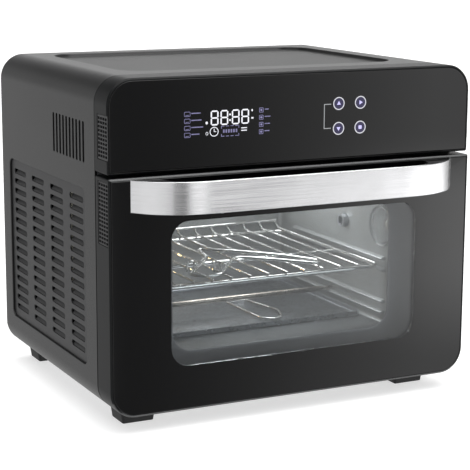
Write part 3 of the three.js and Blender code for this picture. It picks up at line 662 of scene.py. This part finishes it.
def in_grille(spot, normal):
    """The floor and walls of the pockets behind the mesh strips, where a painted shadow goes."""
    in_strip = abs(spot.x) > SHELL_X1 - 1.7 and GRILLE_Y[0] - 0.1 < spot.y < GRILLE_Y[1] + 0.1
    upper, lower = (low - 0.1 < spot.z < high + 0.1 for low, high in (UPPER_GRILLE, LOWER_GRILLE))
    return in_strip and abs(spot.x) < SHELL_X1 - 0.1 and (upper or lower)


def on_highlit_rim(spot, normal):
    """The rounded front edge of a moulding, at its top and bottom, where a painted highlight goes."""
    return spot.y < 1.75 and normal.y < -0.2 and abs(normal.z) > 0.3


PANEL_Y0, PANEL_Y1 = span("control_housing")[2:4]
PANEL_SEAT = span("control_glass")[3] + 0.3


# Painted shadow in the grille pockets and a painted highlight on the moulding's top and bottom rims.
MOULDING_PAINTS = [(SEAM_SHADOW, in_grille), (LIP_HIGHLIGHT, on_highlit_rim)]


def panel_frame(bm):
    add_band(bm, lipped_frame(PANEL_Y0, PANEL_Y1, PANEL_SEAT), panel_outline)


piece("panel_housing", panel_frame, OVEN, "frame_plastic", MOULDING, "control_housing",
    cuts=[partial(grille_pockets, z_range=UPPER_GRILLE)], paints=MOULDING_PAINTS)


def panel_glass(bm):
    y0, y1 = span("control_glass")[2:4]
    add_slab(bm, lambda i: panel_outline(GLASS_INSET + i), y0, y1, 0.5)


piece("panel_glass", panel_glass, OVEN, "black_glass", BLACK_GLASS, "control_glass")


def strip_grille(bm, side, z_range):
    """A row of small holes let into the moulding's side."""
    low, high = z_range[0] + 0.3, z_range[1] - 0.3
    holes = []
    rows = int((high - low - 1.2) / CELL_PITCH_Z)
    start = (low + high) / 2 - CELL_PITCH_Z * (rows - 1) / 2
    for column in range(4):
        y = 15.25 + CELL_PITCH_Y * (column - 1.5)
        for row in range(rows):
            holes.append(slot_at(y, start + CELL_PITCH_Z * row, 2.3, 1.25, 0.35, 1))
    x = side * (SHELL_X1 - 1.6 + 0.3 + 0.45)
    add_plate(bm, lambda i: rounded(GRILLE_Y[0] + 0.3, GRILLE_Y[1] - 0.3, low, high, 0.6, i, 3), holes,
        0.9, 0.12, lambda u, v, w: (x + w, u, v))


for name, side in SIDES:
    for level, body, z_range in (("upper", OVEN, UPPER_GRILLE), ("lower", "door", LOWER_GRILLE)):
        build = partial(strip_grille, side=side, z_range=z_range)
        piece(f"{level}_strip_{name}", build, body, "shell_plastic", LOUVRE,
            f"{level}_grille_{name}")

# ---- Display and touch keys ----
PRINT_BACK = span("control_glass")[2]
PRINT_DEPTH = 0.12


def add_print(bm, points):
    add_loft(bm, [across_y(points, y) for y in (PRINT_BACK - PRINT_DEPTH, PRINT_BACK)])


def add_print_ring(bm, outline, width):
    front = PRINT_BACK - PRINT_DEPTH
    add_band(bm, [(0, front), (0, PRINT_BACK), (width, PRINT_BACK), (width, front)], outline)


def add_bar(bm, x0, x1, z0, z1):
    add_print(bm, [(x0, z0), (x1, z0), (x1, z1), (x0, z1)])


def add_digit(bm, x, z, width, height, stroke):
    """All seven segments of one digit."""
    gap, half = 0.22, stroke / 2
    middle = z + height / 2
    for level in (z + half, middle, z + height - half):
        x0, x1 = x + half + gap, x + width - half - gap
        add_print(bm, [(x0, level), (x0 + half, level - half), (x1 - half, level - half), (x1, level),
            (x1 - half, level + half), (x0 + half, level + half)])
    for line in (x + half, x + width - half):
        for z0, z1 in ((z + half + gap, middle - gap), (middle + gap, z + height - half - gap)):
            add_print(bm, [(line, z0), (line + half, z0 + half), (line + half, z1 - half), (line, z1),
                (line - half, z1 - half), (line - half, z0 + half)])


DIGITS_X = (-94.4, -84.1, -72.1, -61.9)
DIGIT = (8.2, 14.3, 1.35)
DIGITS_Z = 276.8


def digits(bm):
    width, height, stroke = DIGIT
    for x in DIGITS_X:
        add_digit(bm, x, DIGITS_Z, width, height, stroke)
    for z in (281.2, 286.6):
        add_print(bm, ellipse(-74.0, z, 0.9, 0.9, 16))
    clock = (-90.8, 270.9)
    add_print_ring(bm, circle_at(*clock, 4.6), 0.7)
    add_bar(bm, clock[0] - 0.3, clock[0] + 0.3, clock[1], clock[1] + 3)
    add_bar(bm, clock[0], clock[0] + 2.2, clock[1] - 0.3, clock[1] + 0.3)
    add_print(bm, ellipse(-98.6, 279.6, 1.2, 1.4, 12))
    add_print_ring(bm, lambda i: ellipse(-98.4, 269.4, 1.3 - i, 1.6 - i, 16), 0.4)
    for z in (272.6, 270.2):
        add_bar(bm, -62, -56, z, z + 0.9)
    add_print(bm, ellipse(-50.4, 289.5, 0.8, 1.1, 12))
    add_bar(bm, -51.2, -49.0, 281.4, 282.9)


def icons(bm):
    for z, length in ((288.8, 9.6), (282.2, 10.6), (275.5, 12.2), (268.9, 8.4)):
        add_print_ring(bm, slot_at(-118.8, z, 3.2, 2.3, 1.0, 3), 0.45)
        add_bar(bm, -120.6, -117.0, z - 1.2, z - 0.8)
        add_bar(bm, -114.6, -114.6 + length, z + 0.1, z + 1.1)
    for z, length in ((289.2, 4.2), (282.2, 6.2), (275.3, 5.8), (268.3, 5.2)):
        add_print_ring(bm, slot_at(-40.5, z, 2.3, 2.3, 0.7, 3), 0.5)
        add_print(bm, ellipse(-40.5, z, 1.1, 1.1, 12))
        add_bar(bm, -36.8, -36.8 + length, z + 0.2, z + 1.1)
    for k in range(4):
        x = -83.2 + 4.9 * k
        for z in (265.8, 275.4):
            add_bar(bm, x, x + 3.2, z, z + 0.6)
    for x in (-83.4, -64.9):
        add_bar(bm, x, x + 0.6, 265.8, 268.2)
        add_bar(bm, x, x + 0.6, 273.4, 276)
    for k in range(6):
        x = -81.4 + 2.7 * k
        add_bar(bm, x, x + 1.6, 269.3, 272.5)


KEYS = {"up": (45.6, 291.6), "start": (70.4, 291.6), "down": (45.6, 266.9), "stop": (70.4, 266.9)}
RING_R = 6.4
RING_WIDTH = 0.95


def key_rings(bm):
    for x, z in KEYS.values():
        add_print_ring(bm, circle_at(x, z, RING_R, 40), RING_WIDTH)


def key_marks(bm):
    r = 2.5
    for name, turn in (("up", pi / 2), ("start", 0), ("down", -pi / 2)):
        x, z = KEYS[name]
        angles = [turn + k * 2 * pi / 3 for k in range(3)]
        add_print(bm, [(x + r * cos(a), z + r * sin(a)) for a in angles])
    x, z = KEYS["stop"]
    add_print(bm, rounded(x - 1.8, x + 1.8, z - 1.8, z + 1.8, 0.6, 0, 3))


def key_bracket(bm):
    x0, x1, z0, z1, line = 28.8, 36.8, 267.1, 291.7, 0.8
    add_bar(bm, x0, x0 + line, z0, z1)
    for z in (z0, z1 - line):
        add_bar(bm, x0 + line, x1, z, z + line)


for name, build, light in (("display_digits", digits, DIGIT_LIGHT), ("display_icons", icons, ICON_LIGHT),
                           ("key_rings", key_rings, RING_PRINT), ("key_marks", key_marks, KEY_LIGHT),
                           ("key_bracket", key_bracket, LINE_PRINT)):
    piece(name, build, OVEN, "black_glass", light)
FILL_R, FILL_DEPTH = 5.35, 0.06


def key_disc(x, z):
    outline = ellipse(x, z, FILL_R, FILL_R, 32)
    return lambda bm: add_loft(bm, [across_y(outline, y) for y in (PRINT_BACK - FILL_DEPTH, PRINT_BACK)])


for name, spot in KEYS.items():
    piece("key_fill_" + name, key_disc(*spot), OVEN, "black_glass", KEY_FILL)

# ---- Oven cavity ----
CAVITY_X0, CAVITY_X1 = -140, 140
CAVITY_Z0, CAVITY_Z1 = 44, 204
CAVITY_WALL = 1.2
CAVITY_Y0 = span("cavity_liner")[2]
CAVITY_BACK = span("cavity_liner")[3] - CAVITY_WALL
RAILS = ((54, 58.5), (66, 70.5), (100.3, 104.8), (112.8, 117.3))
HEATERS = ("lower_heater_front", "lower_heater_rear", "upper_heater_front", "upper_heater_rear")


def liner_body(bm):
    def outline(inset):
        return rounded(CAVITY_X0, CAVITY_X1, CAVITY_Z0, CAVITY_Z1, 6, inset, 6)

    profile = [(3, CAVITY_BACK + CAVITY_WALL), (-CAVITY_WALL, CAVITY_BACK - 3), (-CAVITY_WALL, CAVITY_Y0),
        (0, CAVITY_Y0), (0, CAVITY_BACK - 5)]
    profile += [(5 * (1 - cos(a)), CAVITY_BACK - 5 * (1 - sin(a))) for a in quarter_turn(4)[1:]]
    add_loft(bm, [across_y(outline(inset), y) for inset, y in profile])


def liner_cuts(bm):
    for heater in HEATERS:
        _, y, z = centre(heater)
        add_tube(bm, [(-150, y, z), (150, y, z)], 3.8)
    round_cuts = (("rotisserie_coupling", 136, 150, 8, 24), ("lamp_lens", 137, 150, 18, 32),
        ("thermostat_probe", -150, -138, 2.8, 12))
    for node, x0, x1, radius, sides in round_cuts:
        _, y, z = centre(node)
        add_tube(bm, [(x0, y, z), (x1, y, z)], radius, sides=sides, dome=1)
    y = centre("fan_guard")[1]
    add_tube(bm, [(0, y, CAVITY_Z1 - 2), (0, y, CAVITY_Z1 + 4)], 62, sides=40, dome=1)


def add_rails(bm):
    for side in (-1, 1):
        for z0, z1 in RAILS:
            z = (z0 + z1) / 2
            levels = ((0.3, 0), (-1.5, 0.15), (-3.4, 0.8), (-4.5, 1.6), (-5, 2.1))
            rail = lambda i: rounded(60, 262, z0, z1, 2.2, i, 4)
            add_loft(bm, [across_x(rail(inset), side * (CAVITY_X1 + depth)) for depth, inset in levels])


# The cavity floor gets the liner's painted shade.
piece("cavity_shell", liner_body, OVEN, "liner_steel", LINER, "cavity_liner", cuts=[liner_cuts],
    paints=[(LINER_FLOOR_SHADE, lambda spot, normal: normal.z > 0.9 and spot.z < 60)])
piece("guide_rails", add_rails, OVEN, "liner_steel", LINER)


def heater_rod(bm, node):
    x0, x1, y0, y1, z0, z1 = span(node)
    _, y, z = centre(node)
    r = (z1 - z0) / 2
    add_tube(bm, [(x0 + 1, y, z), (x1 - 1, y, z)], r * 0.72, sides=16)
    add_tube(bm, [(-122, y, z), (122, y, z)], r * 0.98, sides=20, dome=2)
    for side in (-1, 1):
        add_tube(bm, [(side * 134, y, z), (side * 138.8, y, z)], r * 0.95, sides=20, dome=1)


for node in HEATERS:
    piece(node + "_rod", partial(heater_rod, node=node), OVEN, "heater_steel", HEATER, node)


def tray_pan(bm):
    x0, x1, y0, y1, z0, z1 = span("crumb_tray")

    def outline(inset):
        return rounded(x0, x1, y0, y1, 5, inset, 5)

    profile = [(0.9, z0), (0.25, z0 + 0.7), (0.1, z1 - 1.2), (0, z1 - 0.9), (0, z1 - 0.2), (0.2, z1),
        (0.9, z1), (1.1, z1 - 0.2), (1.1, z0 + 1.8), (1.7, z0 + 1.1), (2.2, z0 + 0.9)]
    add_loft(bm, [across_z(outline(inset), z) for inset, z in profile])


piece("crumb_pan", tray_pan, OVEN, "plated_steel", TRAY, "crumb_tray")


def lamp_glass(bm):
    x0, x1 = span("lamp_lens")[:2]
    _, y, z = centre("lamp_lens")
    rings = [(16.5, x1), (20.3, x1), (21, x1 - 0.8), (21, x0 + 1.6), (19.6, x0 + 0.6), (16, x0 + 0.1),
        (8, x0), (2, x0)]
    add_loft(bm, [across_x(ellipse(y, z, r, r, 40), x) for r, x in rings])


def lamp_rim(bm):
    x0, x1 = span("lamp_lens")[:2]
    _, y, z = centre("lamp_lens")
    profile = [(0, x1), (0, x0 + 0.6), (0.6, x0), (1.6, x0), (2.1, x0 + 0.7), (2.1, x1)]
    add_band(bm, profile, circle_at(y, z, 23, 40), across_x)


piece("lamp_glass", lamp_glass, OVEN, "clear_glass", LAMP_PANE, "lamp_lens")
piece("lamp_rim", lamp_rim, OVEN, "liner_steel", LINER)


def bulb(bm):
    x0, x1 = span("lamp_bulb")[:2]
    _, y, z = centre("lamp_bulb")
    stations = [(1, x0), (4.5, x0 + 0.7), (7.0, x0 + 3), (7.9, x0 + 7), (7.6, x0 + 11), (5.6, x0 + 15),
        (4.4, x0 + 17), (4.4, x1)]
    add_loft(bm, [across_x(ellipse(y, z, r, r, 24), x) for r, x in stations])


piece("bulb_envelope", bulb, OVEN, "bulb_glass", BULB, "lamp_bulb")

# ---- Rack and lift tool ----
RACK_HALF, RACK_FRONT, RACK_BACK, RACK_Z = 134.5, 62, 282, 107.7
FRAME_WIRE, CROSS_WIRE, RACK_TOP = 2.3, 1.25, 113
WIRE_PITCH, WIRES_A_SIDE = 21.25, 6


def rack_wires(bm):
    corners = [(0, RACK_FRONT), (RACK_HALF, RACK_FRONT), (RACK_HALF, RACK_BACK), (-RACK_HALF, RACK_BACK),
        (-RACK_HALF, RACK_FRONT), (0, RACK_FRONT)]
    ring = bent([(x, y, RACK_Z) for x, y in corners], 18, 8)
    add_tube(bm, ring[:-1], FRAME_WIRE, closed=True, sides=16)
    top = RACK_TOP - CROSS_WIRE
    rail_y, rail_z = RACK_BACK + 9, top + 7
    for k in range(-WIRES_A_SIDE, WIRES_A_SIDE + 1):
        x = WIRE_PITCH * k
        run = [(x, RACK_FRONT - 1, top), (x, RACK_BACK, top), (x, rail_y, rail_z)]
        add_tube(bm, bent(run, 4), CROSS_WIRE)
    add_tube(bm, [(-129, rail_y, rail_z), (129, rail_y, rail_z)], 2)
    add_tube(bm, [(-RACK_HALF + 1, 150, RACK_Z + 0.4), (RACK_HALF - 1, 150, RACK_Z + 0.4)], 2)


piece("rack_wires", rack_wires, "rack", "bright_wire", CHROME, "wire_rack")


def tool_wires(bm):
    z0, z1 = span("lift_tool")[4:6]
    z, r = (z0 + z1) / 2, (z1 - z0) / 2 * 0.98
    loop = [(-70, 68), (-81, 79), (-28, 152), (-19, 193), (17, 161), (50, 124), (72, 86), (64, 70),
        (34, 106), (2, 136), (-14, 122), (-53, 66), (-66, 66)]
    add_tube(bm, bent([(x, y, z) for x, y in loop], 7, 5), r)
    for (x0, y0), (x1, y1) in (((-77, 96), (-66, 101)), ((-52, 84), (-42, 90))):
        arch = [(x0, y0, z), (x0 + 1, y0 + 1, z + 9), (x1 - 1, y1 - 1, z + 9), (x1, y1, z)]
        add_tube(bm, bent(arch, 4, 4), 1.3)


piece("tool_wires", tool_wires, "rack", "bright_wire", CHROME, "lift_tool")


def grip_wire(bm):
    z0, z1 = span("grip_tool")[4:6]
    z, r = (z0 + z1) / 2, (z1 - z0) / 2
    corners = [(33, 209), (23, 209), (26, 128), (36, 118), (49, 123), (59, 150), (48, 209), (33, 209)]
    add_tube(bm, bent([(x, y, z) for x, y in corners], 5, 5)[:-1], r, closed=True)


piece("grip_wire", grip_wire, OVEN, "bright_wire", CHROME, "grip_tool")

# ---- Door ----
DOOR_Y0, DOOR_Y1 = span("door_frame")[2:4]
WINDOW = (-137, 137.4, 44.7, 187.5)
WINDOW_R = 19
INNER_WINDOW = (-123, 123, 51.5, 186)
INNER_R = 20
HINGE_Y, HINGE_Z, HINGE_X = 18, 14, 160
SWEEP_R = 15.5


def door_outline(inset):
    return rounded(SHELL_X0, SHELL_X1, SHELL_Z0, DOOR_TOP, (CORNER_R, CORNER_R, 2, 2), inset, 12)


def hinge_cuts(bm):
    """Clears the casing as the door swings, and makes room for the hinge knuckles."""
    section = [(HINGE_Y, -2), (DOOR_Y1 + 6, -2), (DOOR_Y1 + 6, HINGE_Z)]
    arc = [-pi / 2 * k / 14 for k in range(15)]
    section += [(HINGE_Y + SWEEP_R * cos(a), HINGE_Z + SWEEP_R * sin(a)) for a in arc]
    add_loft(bm, [across_x(section, x) for x in (SHELL_X0 - 1, SHELL_X1 + 1)])


def hinge_pockets(bm):
    for side in (-1, 1):
        x = side * HINGE_X
        add_box(bm, x - 6.2, x + 6.2, HINGE_Y - 7, DOOR_Y1 + 8, -1, HINGE_Z + 7.5, 0.5)


def door_moulding(bm):
    def opening(inset):
        return rounded(-150, 150, 32, 200, 10, inset, 12)

    section = lipped_frame(DOOR_Y0, DOOR_Y1, 3.6)
    rings = [across_y(opening(0) if inset == 14 else door_outline(inset), y) for inset, y in section]
    add_loft(bm, rings, closed=True)


piece("door_moulding", door_moulding, "door", "frame_plastic", MOULDING, "door_frame",
    cuts=[hinge_cuts, hinge_pockets, partial(grille_pockets, z_range=LOWER_GRILLE)], paints=MOULDING_PAINTS)


def hinge_ribs(bm):
    for side in (-1, 1):
        for x in (HINGE_X - 10, HINGE_X + 7):
            x0, x1 = sorted((side * x, side * (x + 3)))
            add_box(bm, x0, x1, 5.8, 27.6, 3, 27, 0.5)


piece("hinge_ribs", hinge_ribs, "door", "frame_plastic", MOULDING)


def pane_outline(inset):
    return rounded(*WINDOW, WINDOW_R, inset, 12)


def printed_border(bm):
    """The black border of the outer glass: a ring from its edge to the clear window."""
    y0, y1 = span("door_outer_glass")[2:4]
    edge = [(0, y1 - 0.5), (0, y0 + 0.5), (0.15, y0 + 0.15), (0.5, y0)]
    rings = [across_y(door_outline(GLASS_INSET + inset), y) for inset, y in edge]
    rings += [across_y(pane_outline(0), y) for y in (y0, y1)]
    rings.append(across_y(door_outline(3.0), y1))
    add_loft(bm, rings, closed=True)


def clear_window(bm):
    y0, y1 = span("door_outer_glass")[2:4]
    add_loft(bm, [across_y(pane_outline(0.02), y) for y in (y0, y1)])


piece("glass_border", printed_border, "door", "black_glass", BLACK_GLASS, "door_outer_glass")
piece("glass_window", clear_window, "door", "clear_glass", CLEAR)


def inner_panel(bm):
    y0, y1 = span("door_inner_panel")[2:4]

    def opening(inset):
        return rounded(*INNER_WINDOW, INNER_R, inset, 12)

    rings = [across_y(door_outline(2.8), y) for y in (y1, y0)]
    rings += [across_y(opening(-3), y0), across_y(opening(-1), y0 + 0.1), across_y(opening(-0.2), y0 + 0.6),
        across_y(opening(0), y1 + 0.1), across_y(opening(-1), y1)]
    add_loft(bm, rings, closed=True)


piece("door_lining", inner_panel, "door", "panel_steel", PANEL, "door_inner_panel",
    cuts=[hinge_cuts, hinge_pockets])


def inner_pane(bm):
    x0, x1, y0, y1, z0, z1 = span("door_inner_glass")
    add_slab(bm, lambda i: rounded(x0, x1, z0, z1, 8, i, 6), y0, y1, 0.5)


def gasket(bm):
    x0, x1, y0, y1, z0, z1 = span("door_seal")
    section = ellipse(3, (y0 + y1) / 2, -3, (y1 - y0) / 2, 12)
    add_band(bm, section, lambda i: rounded(x0, x1, z0, z1, 12, i, 8))


piece("inner_pane", inner_pane, "door", "clear_glass", INNER_CLEAR, "door_inner_glass")
piece("door_gasket", gasket, "door", "seal_rubber", SILICONE, "door_seal")

# ---- Handle ----
BOW = ((-178.3, -0.3), (-176, -3.3), (-170, -10.9), (-164, -17), (-157.7, -21.6), (-151, -25.5),
    (-144, -28.8), (-135, -32), (-124, -34.2), (-111, -35.3), (-90, -35.6), (-60, -35.7), (0, -35.7))
HANDLE_Z0, HANDLE_Z1 = span("handle_bar")[4:6]
STRAP = 1.8
FRONT_OF_GLASS = -0.3


def both_halves(path):
    return path + [Vector((-p.x, p.y, 0)) for p in reversed(path[:-1])]


def bow_line():
    return smoothed(both_halves([Vector((x, y, 0)) for x, y in BOW]), 6)


def inward(path):
    """Unit vectors across the path, towards the door."""
    ends = [path[0], *path, path[-1]]
    along = [after - before for before, after in zip(ends, ends[2:])]
    return [Vector((-step.y, step.x, 0)).normalized() for step in along]


def up_to_glass(path):
    """The part of a path in front of the glass, with its ends cut on the glass's plane."""
    kept = []
    for near, far in zip(path, path[1:]):
        if (near.y - FRONT_OF_GLASS) * (far.y - FRONT_OF_GLASS) < 0:
            kept.append(near.lerp(far, (FRONT_OF_GLASS - near.y) / (far.y - near.y)))
        if far.y < FRONT_OF_GLASS:
            kept.append(far)
    return [(p.x, p.y) for p in kept]


def strap(bm):
    path = bow_line()
    rings = []
    for spot, across in zip(path, inward(path)):
        section = rounded(0, STRAP, HANDLE_Z0, HANDLE_Z1, 0.8, 0, 3)
        ring = [spot + across * u + Vector((0, 0, v)) for u, v in section]
        rings.append([(p.x, max(BOW[-1][1], min(p.y, FRONT_OF_GLASS)), p.z) for p in ring])
    add_loft(bm, rings)


def backing(bm):
    """The black body behind the strap, with deep arms at its ends where it meets the glass."""
    hollow = smoothed([(-146, 2, 0), (-144.5, -8, 0), (-140, -16, 0), (-128, -23.5, 0), (-106, -28.8, 0),
        (-80, -29.7, 0), (0, -29.7, 0)], 6)
    path = bow_line()
    front = [spot + across * (STRAP + 0.35) for spot, across in zip(path, inward(path))]
    outline = up_to_glass(front) + up_to_glass(both_halves(hollow))[::-1]
    middle, half = (HANDLE_Z0 + HANDLE_Z1) / 2, (HANDLE_Z1 - HANDLE_Z0) / 2 - 1.5
    add_plate(bm, lambda i: outline, [], 2 * half, 0.7, lambda u, v, w: (u, v, middle + w))


piece("handle_strap", strap, "door", "handle_steel", BRUSHED, "handle_bar")
piece("handle_backing", backing, "door", "black_plastic", GLOSS_BLACK, "handle_core")

# ---- CAD nodes that stay ----
KEPT = {
    PLATED: ("base_plate", "hinge_bracket_left", "hinge_bracket_right", "hinge_pin_left", "hinge_pin_right",
             "door_stay_left", "door_stay_right", "handle_screw_left", "handle_screw_right", "lamp_housing",
             "fan_guard", "fan_housing", "fan_shaft", "hot_impeller", "rotisserie_coupling"),
    MOTOR: ("fan_motor", "rotisserie_motor"),
    BOARD: ("control_board", "power_board"),
    WOOL: ("insulation_left", "insulation_right"),
    SATIN_BLACK: ("display_module", "door_switch", "cooling_impeller"),
    CHROME: ("thermostat_probe",),
    WHITE_PLASTIC: ("switch_plunger",),
}
for material, names in KEPT.items():
    for name in names:
        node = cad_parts[name]
        node.data.materials.clear()
        node.data.materials.append(material)
        rounding = node.modifiers.new("edges", "BEVEL")
        rounding.width = 0.25 * MM
        rounding.segments = 2
        rounding.limit_method = "ANGLE"
        rounding.angle_limit = radians(40)
        soften(node)

# ---- Floor, light and camera ----
FLOOR_HALF = 9.0
FLOOR_GLOW = 0.62
DIM = 0.22
CAMERA_AZIMUTH, CAMERA_ELEVATION, CAMERA_ROLL = radians(-26.44), radians(11.24), radians(0.25)
CAMERA_TARGET, CAMERA_DISTANCE, CAMERA_LENS = Vector((-0.020, -0.0409, 0.165)), 1.589, 116.9


def make_floor():
    bm = bmesh.new()
    bmesh.ops.create_grid(bm, x_segments=2, y_segments=2, size=FLOOR_HALF)
    mesh = bpy.data.meshes.new("floor")
    bm.to_mesh(mesh)
    bm.free()
    floor = linked("floor", mesh)
    mesh.materials.append(surface("floor_paint", (0.50, 0.50, 0.50), 0.7, cloud=(0.8, 0.01),
        grain=(60, 0.01), Emission_Color=(1, 1, 1, 1), Emission_Strength=FLOOR_GLOW))
    floor.visible_glossy = False


def make_world():
    """A studio drawn by direction: floor light behind with a grey ceiling over it, and softboxes in
    front, dim low down between them, with a narrow dark flag to the left higher up."""
    world = bpy.data.worlds.new("studio")
    SCENE.world = world
    world.use_nodes = True
    tree = world.node_tree
    axes = add_node(tree, "SeparateXYZ")
    tree.links.new(add_node(tree, "TexCoord").outputs["Generated"], axes.inputs[0])
    across, depth, height = axes.outputs
    forward = math(tree, "MULTIPLY", depth, -1.0)
    azimuth = math(tree, "ARCTAN2", across, forward)

    def sweep(value, start, end, low=0, high=1):
        return map_range(tree, value, start, end, low, high)

    def turn(start, end, low, high):
        """A sweep over an azimuth in degrees, right of straight ahead."""
        return sweep(azimuth, radians(start), radians(end), low, high)

    def about(middle, near, far, inside, outside):
        """inside within near degrees of an azimuth, and outside beyond far."""
        off = math(tree, "ABSOLUTE", math(tree, "ADD", azimuth, -radians(middle)))
        return sweep(off, radians(near), radians(far), inside, outside)

    def times(first, second):
        return math(tree, "MULTIPLY", first, second)

    def total(first, *others):
        for other in others:
            first = math(tree, "ADD", first, other)
        return first

    right = math(tree, "MINIMUM", turn(22, 46, DIM, 2.2), 1.2)
    left = turn(-22, -28, 0, 0.85)
    ahead = about(9, 8.5, 13, 1.2, 0)
    strip = times(sweep(height, -0.125, -0.17), sweep(height, -0.205, -0.28, 1, 0))
    strip = times(strip, turn(28, 38, 0, 1.5))
    low_front = total(right, left, ahead, strip)
    level = total(turn(-17, -9, 0.8, 1.6), turn(8, 20, 0, 0.6), about(22, 3, 8, 1.9, 0),
        turn(27, 40, 0, -1.5))
    high_front = times(about(-13, 7, 10.5, 0.01, 1), level)
    front = blend(tree, sweep(height, -0.10, 0.06), low_front, high_front)
    lifted = blend(tree, sweep(across, -0.10, 0.25), 0.42, 1.05)
    behind = blend(tree, sweep(height, -0.06, 0.06), FLOOR_GLOW, lifted)
    behind = times(behind, sweep(height, 0.20, 0.38, 1, 0.12))
    round_about = blend(tree, sweep(forward, -0.25, 0.15), behind, front)
    overhead = blend(tree, sweep(height, 0.66, 0.88), round_about, 3.0)
    background = tree.nodes["Background"]
    background.inputs["Color"].default_value = (1, 1, 1, 1)
    tree.links.new(overhead, background.inputs["Strength"])


def add_light(name, kind, spot, power, **values):
    light = bpy.data.lights.new(name, kind)
    light.energy = power
    for key, value in values.items():
        setattr(light, key, value)
    holder = linked(name, light)
    holder.location = spot
    holder.visible_camera = False
    return holder


def area_light(name, spot, aim, size, power, spread=180):
    holder = add_light(name, "AREA", spot, power, shape="RECTANGLE", size=size[0], size_y=size[1],
        spread=radians(spread))
    holder.rotation_euler = (Vector(aim) - Vector(spot)).to_track_quat("-Z", "Y").to_euler()


def in_oven(x, y, z):
    """A point of the oven, from its millimetres."""
    return PLACE @ Vector((x, y, z))


def make_camera():
    data = bpy.data.cameras.new("camera")
    data.lens = CAMERA_LENS
    camera = linked("camera", data)
    level = cos(CAMERA_ELEVATION)
    back = Vector((sin(CAMERA_AZIMUTH) * level, -cos(CAMERA_AZIMUTH) * level, sin(CAMERA_ELEVATION)))
    camera.location = CAMERA_TARGET + back * CAMERA_DISTANCE
    camera.rotation_mode = "QUATERNION"
    turned = Matrix.Rotation(CAMERA_ROLL, 4, "Z").to_quaternion()
    camera.rotation_quaternion = (-back).to_track_quat("-Z", "Y") @ turned
    SCENE.camera = camera


make_floor()
make_world()
area_light("overhead_softbox", (0.5, -0.6, 1.9), (0, 0, 0.0), (1.8, 1.4), 12)
area_light("cavity_light", in_oven(62, 185, 198), in_oven(62, 185.01, 0), (0.12, 0.12), 0.45, 165)
area_light("rail_glint", in_oven(0, 42, 194), in_oven(0, 90, 60), (0.25, 0.003), 0.012)
area_light("wire_glint", in_oven(0, 290, 138), in_oven(0, 0, 138), (0.26, 0.003), 0.022)
for name, spot, power, colour in (("warm_glint_low", (-60, 240, 90), 0.03, (1.0, 0.62, 0.25)),
                                  ("warm_glint_high", (-80, 262, 190), 0.04, (1.0, 0.66, 0.32))):
    add_light(name, "POINT", in_oven(*spot), power, shadow_soft_size=3 * MM, color=colour)
make_camera()
SCENE.view_settings.view_transform = "Standard"
SCENE.cycles.use_denoising = True
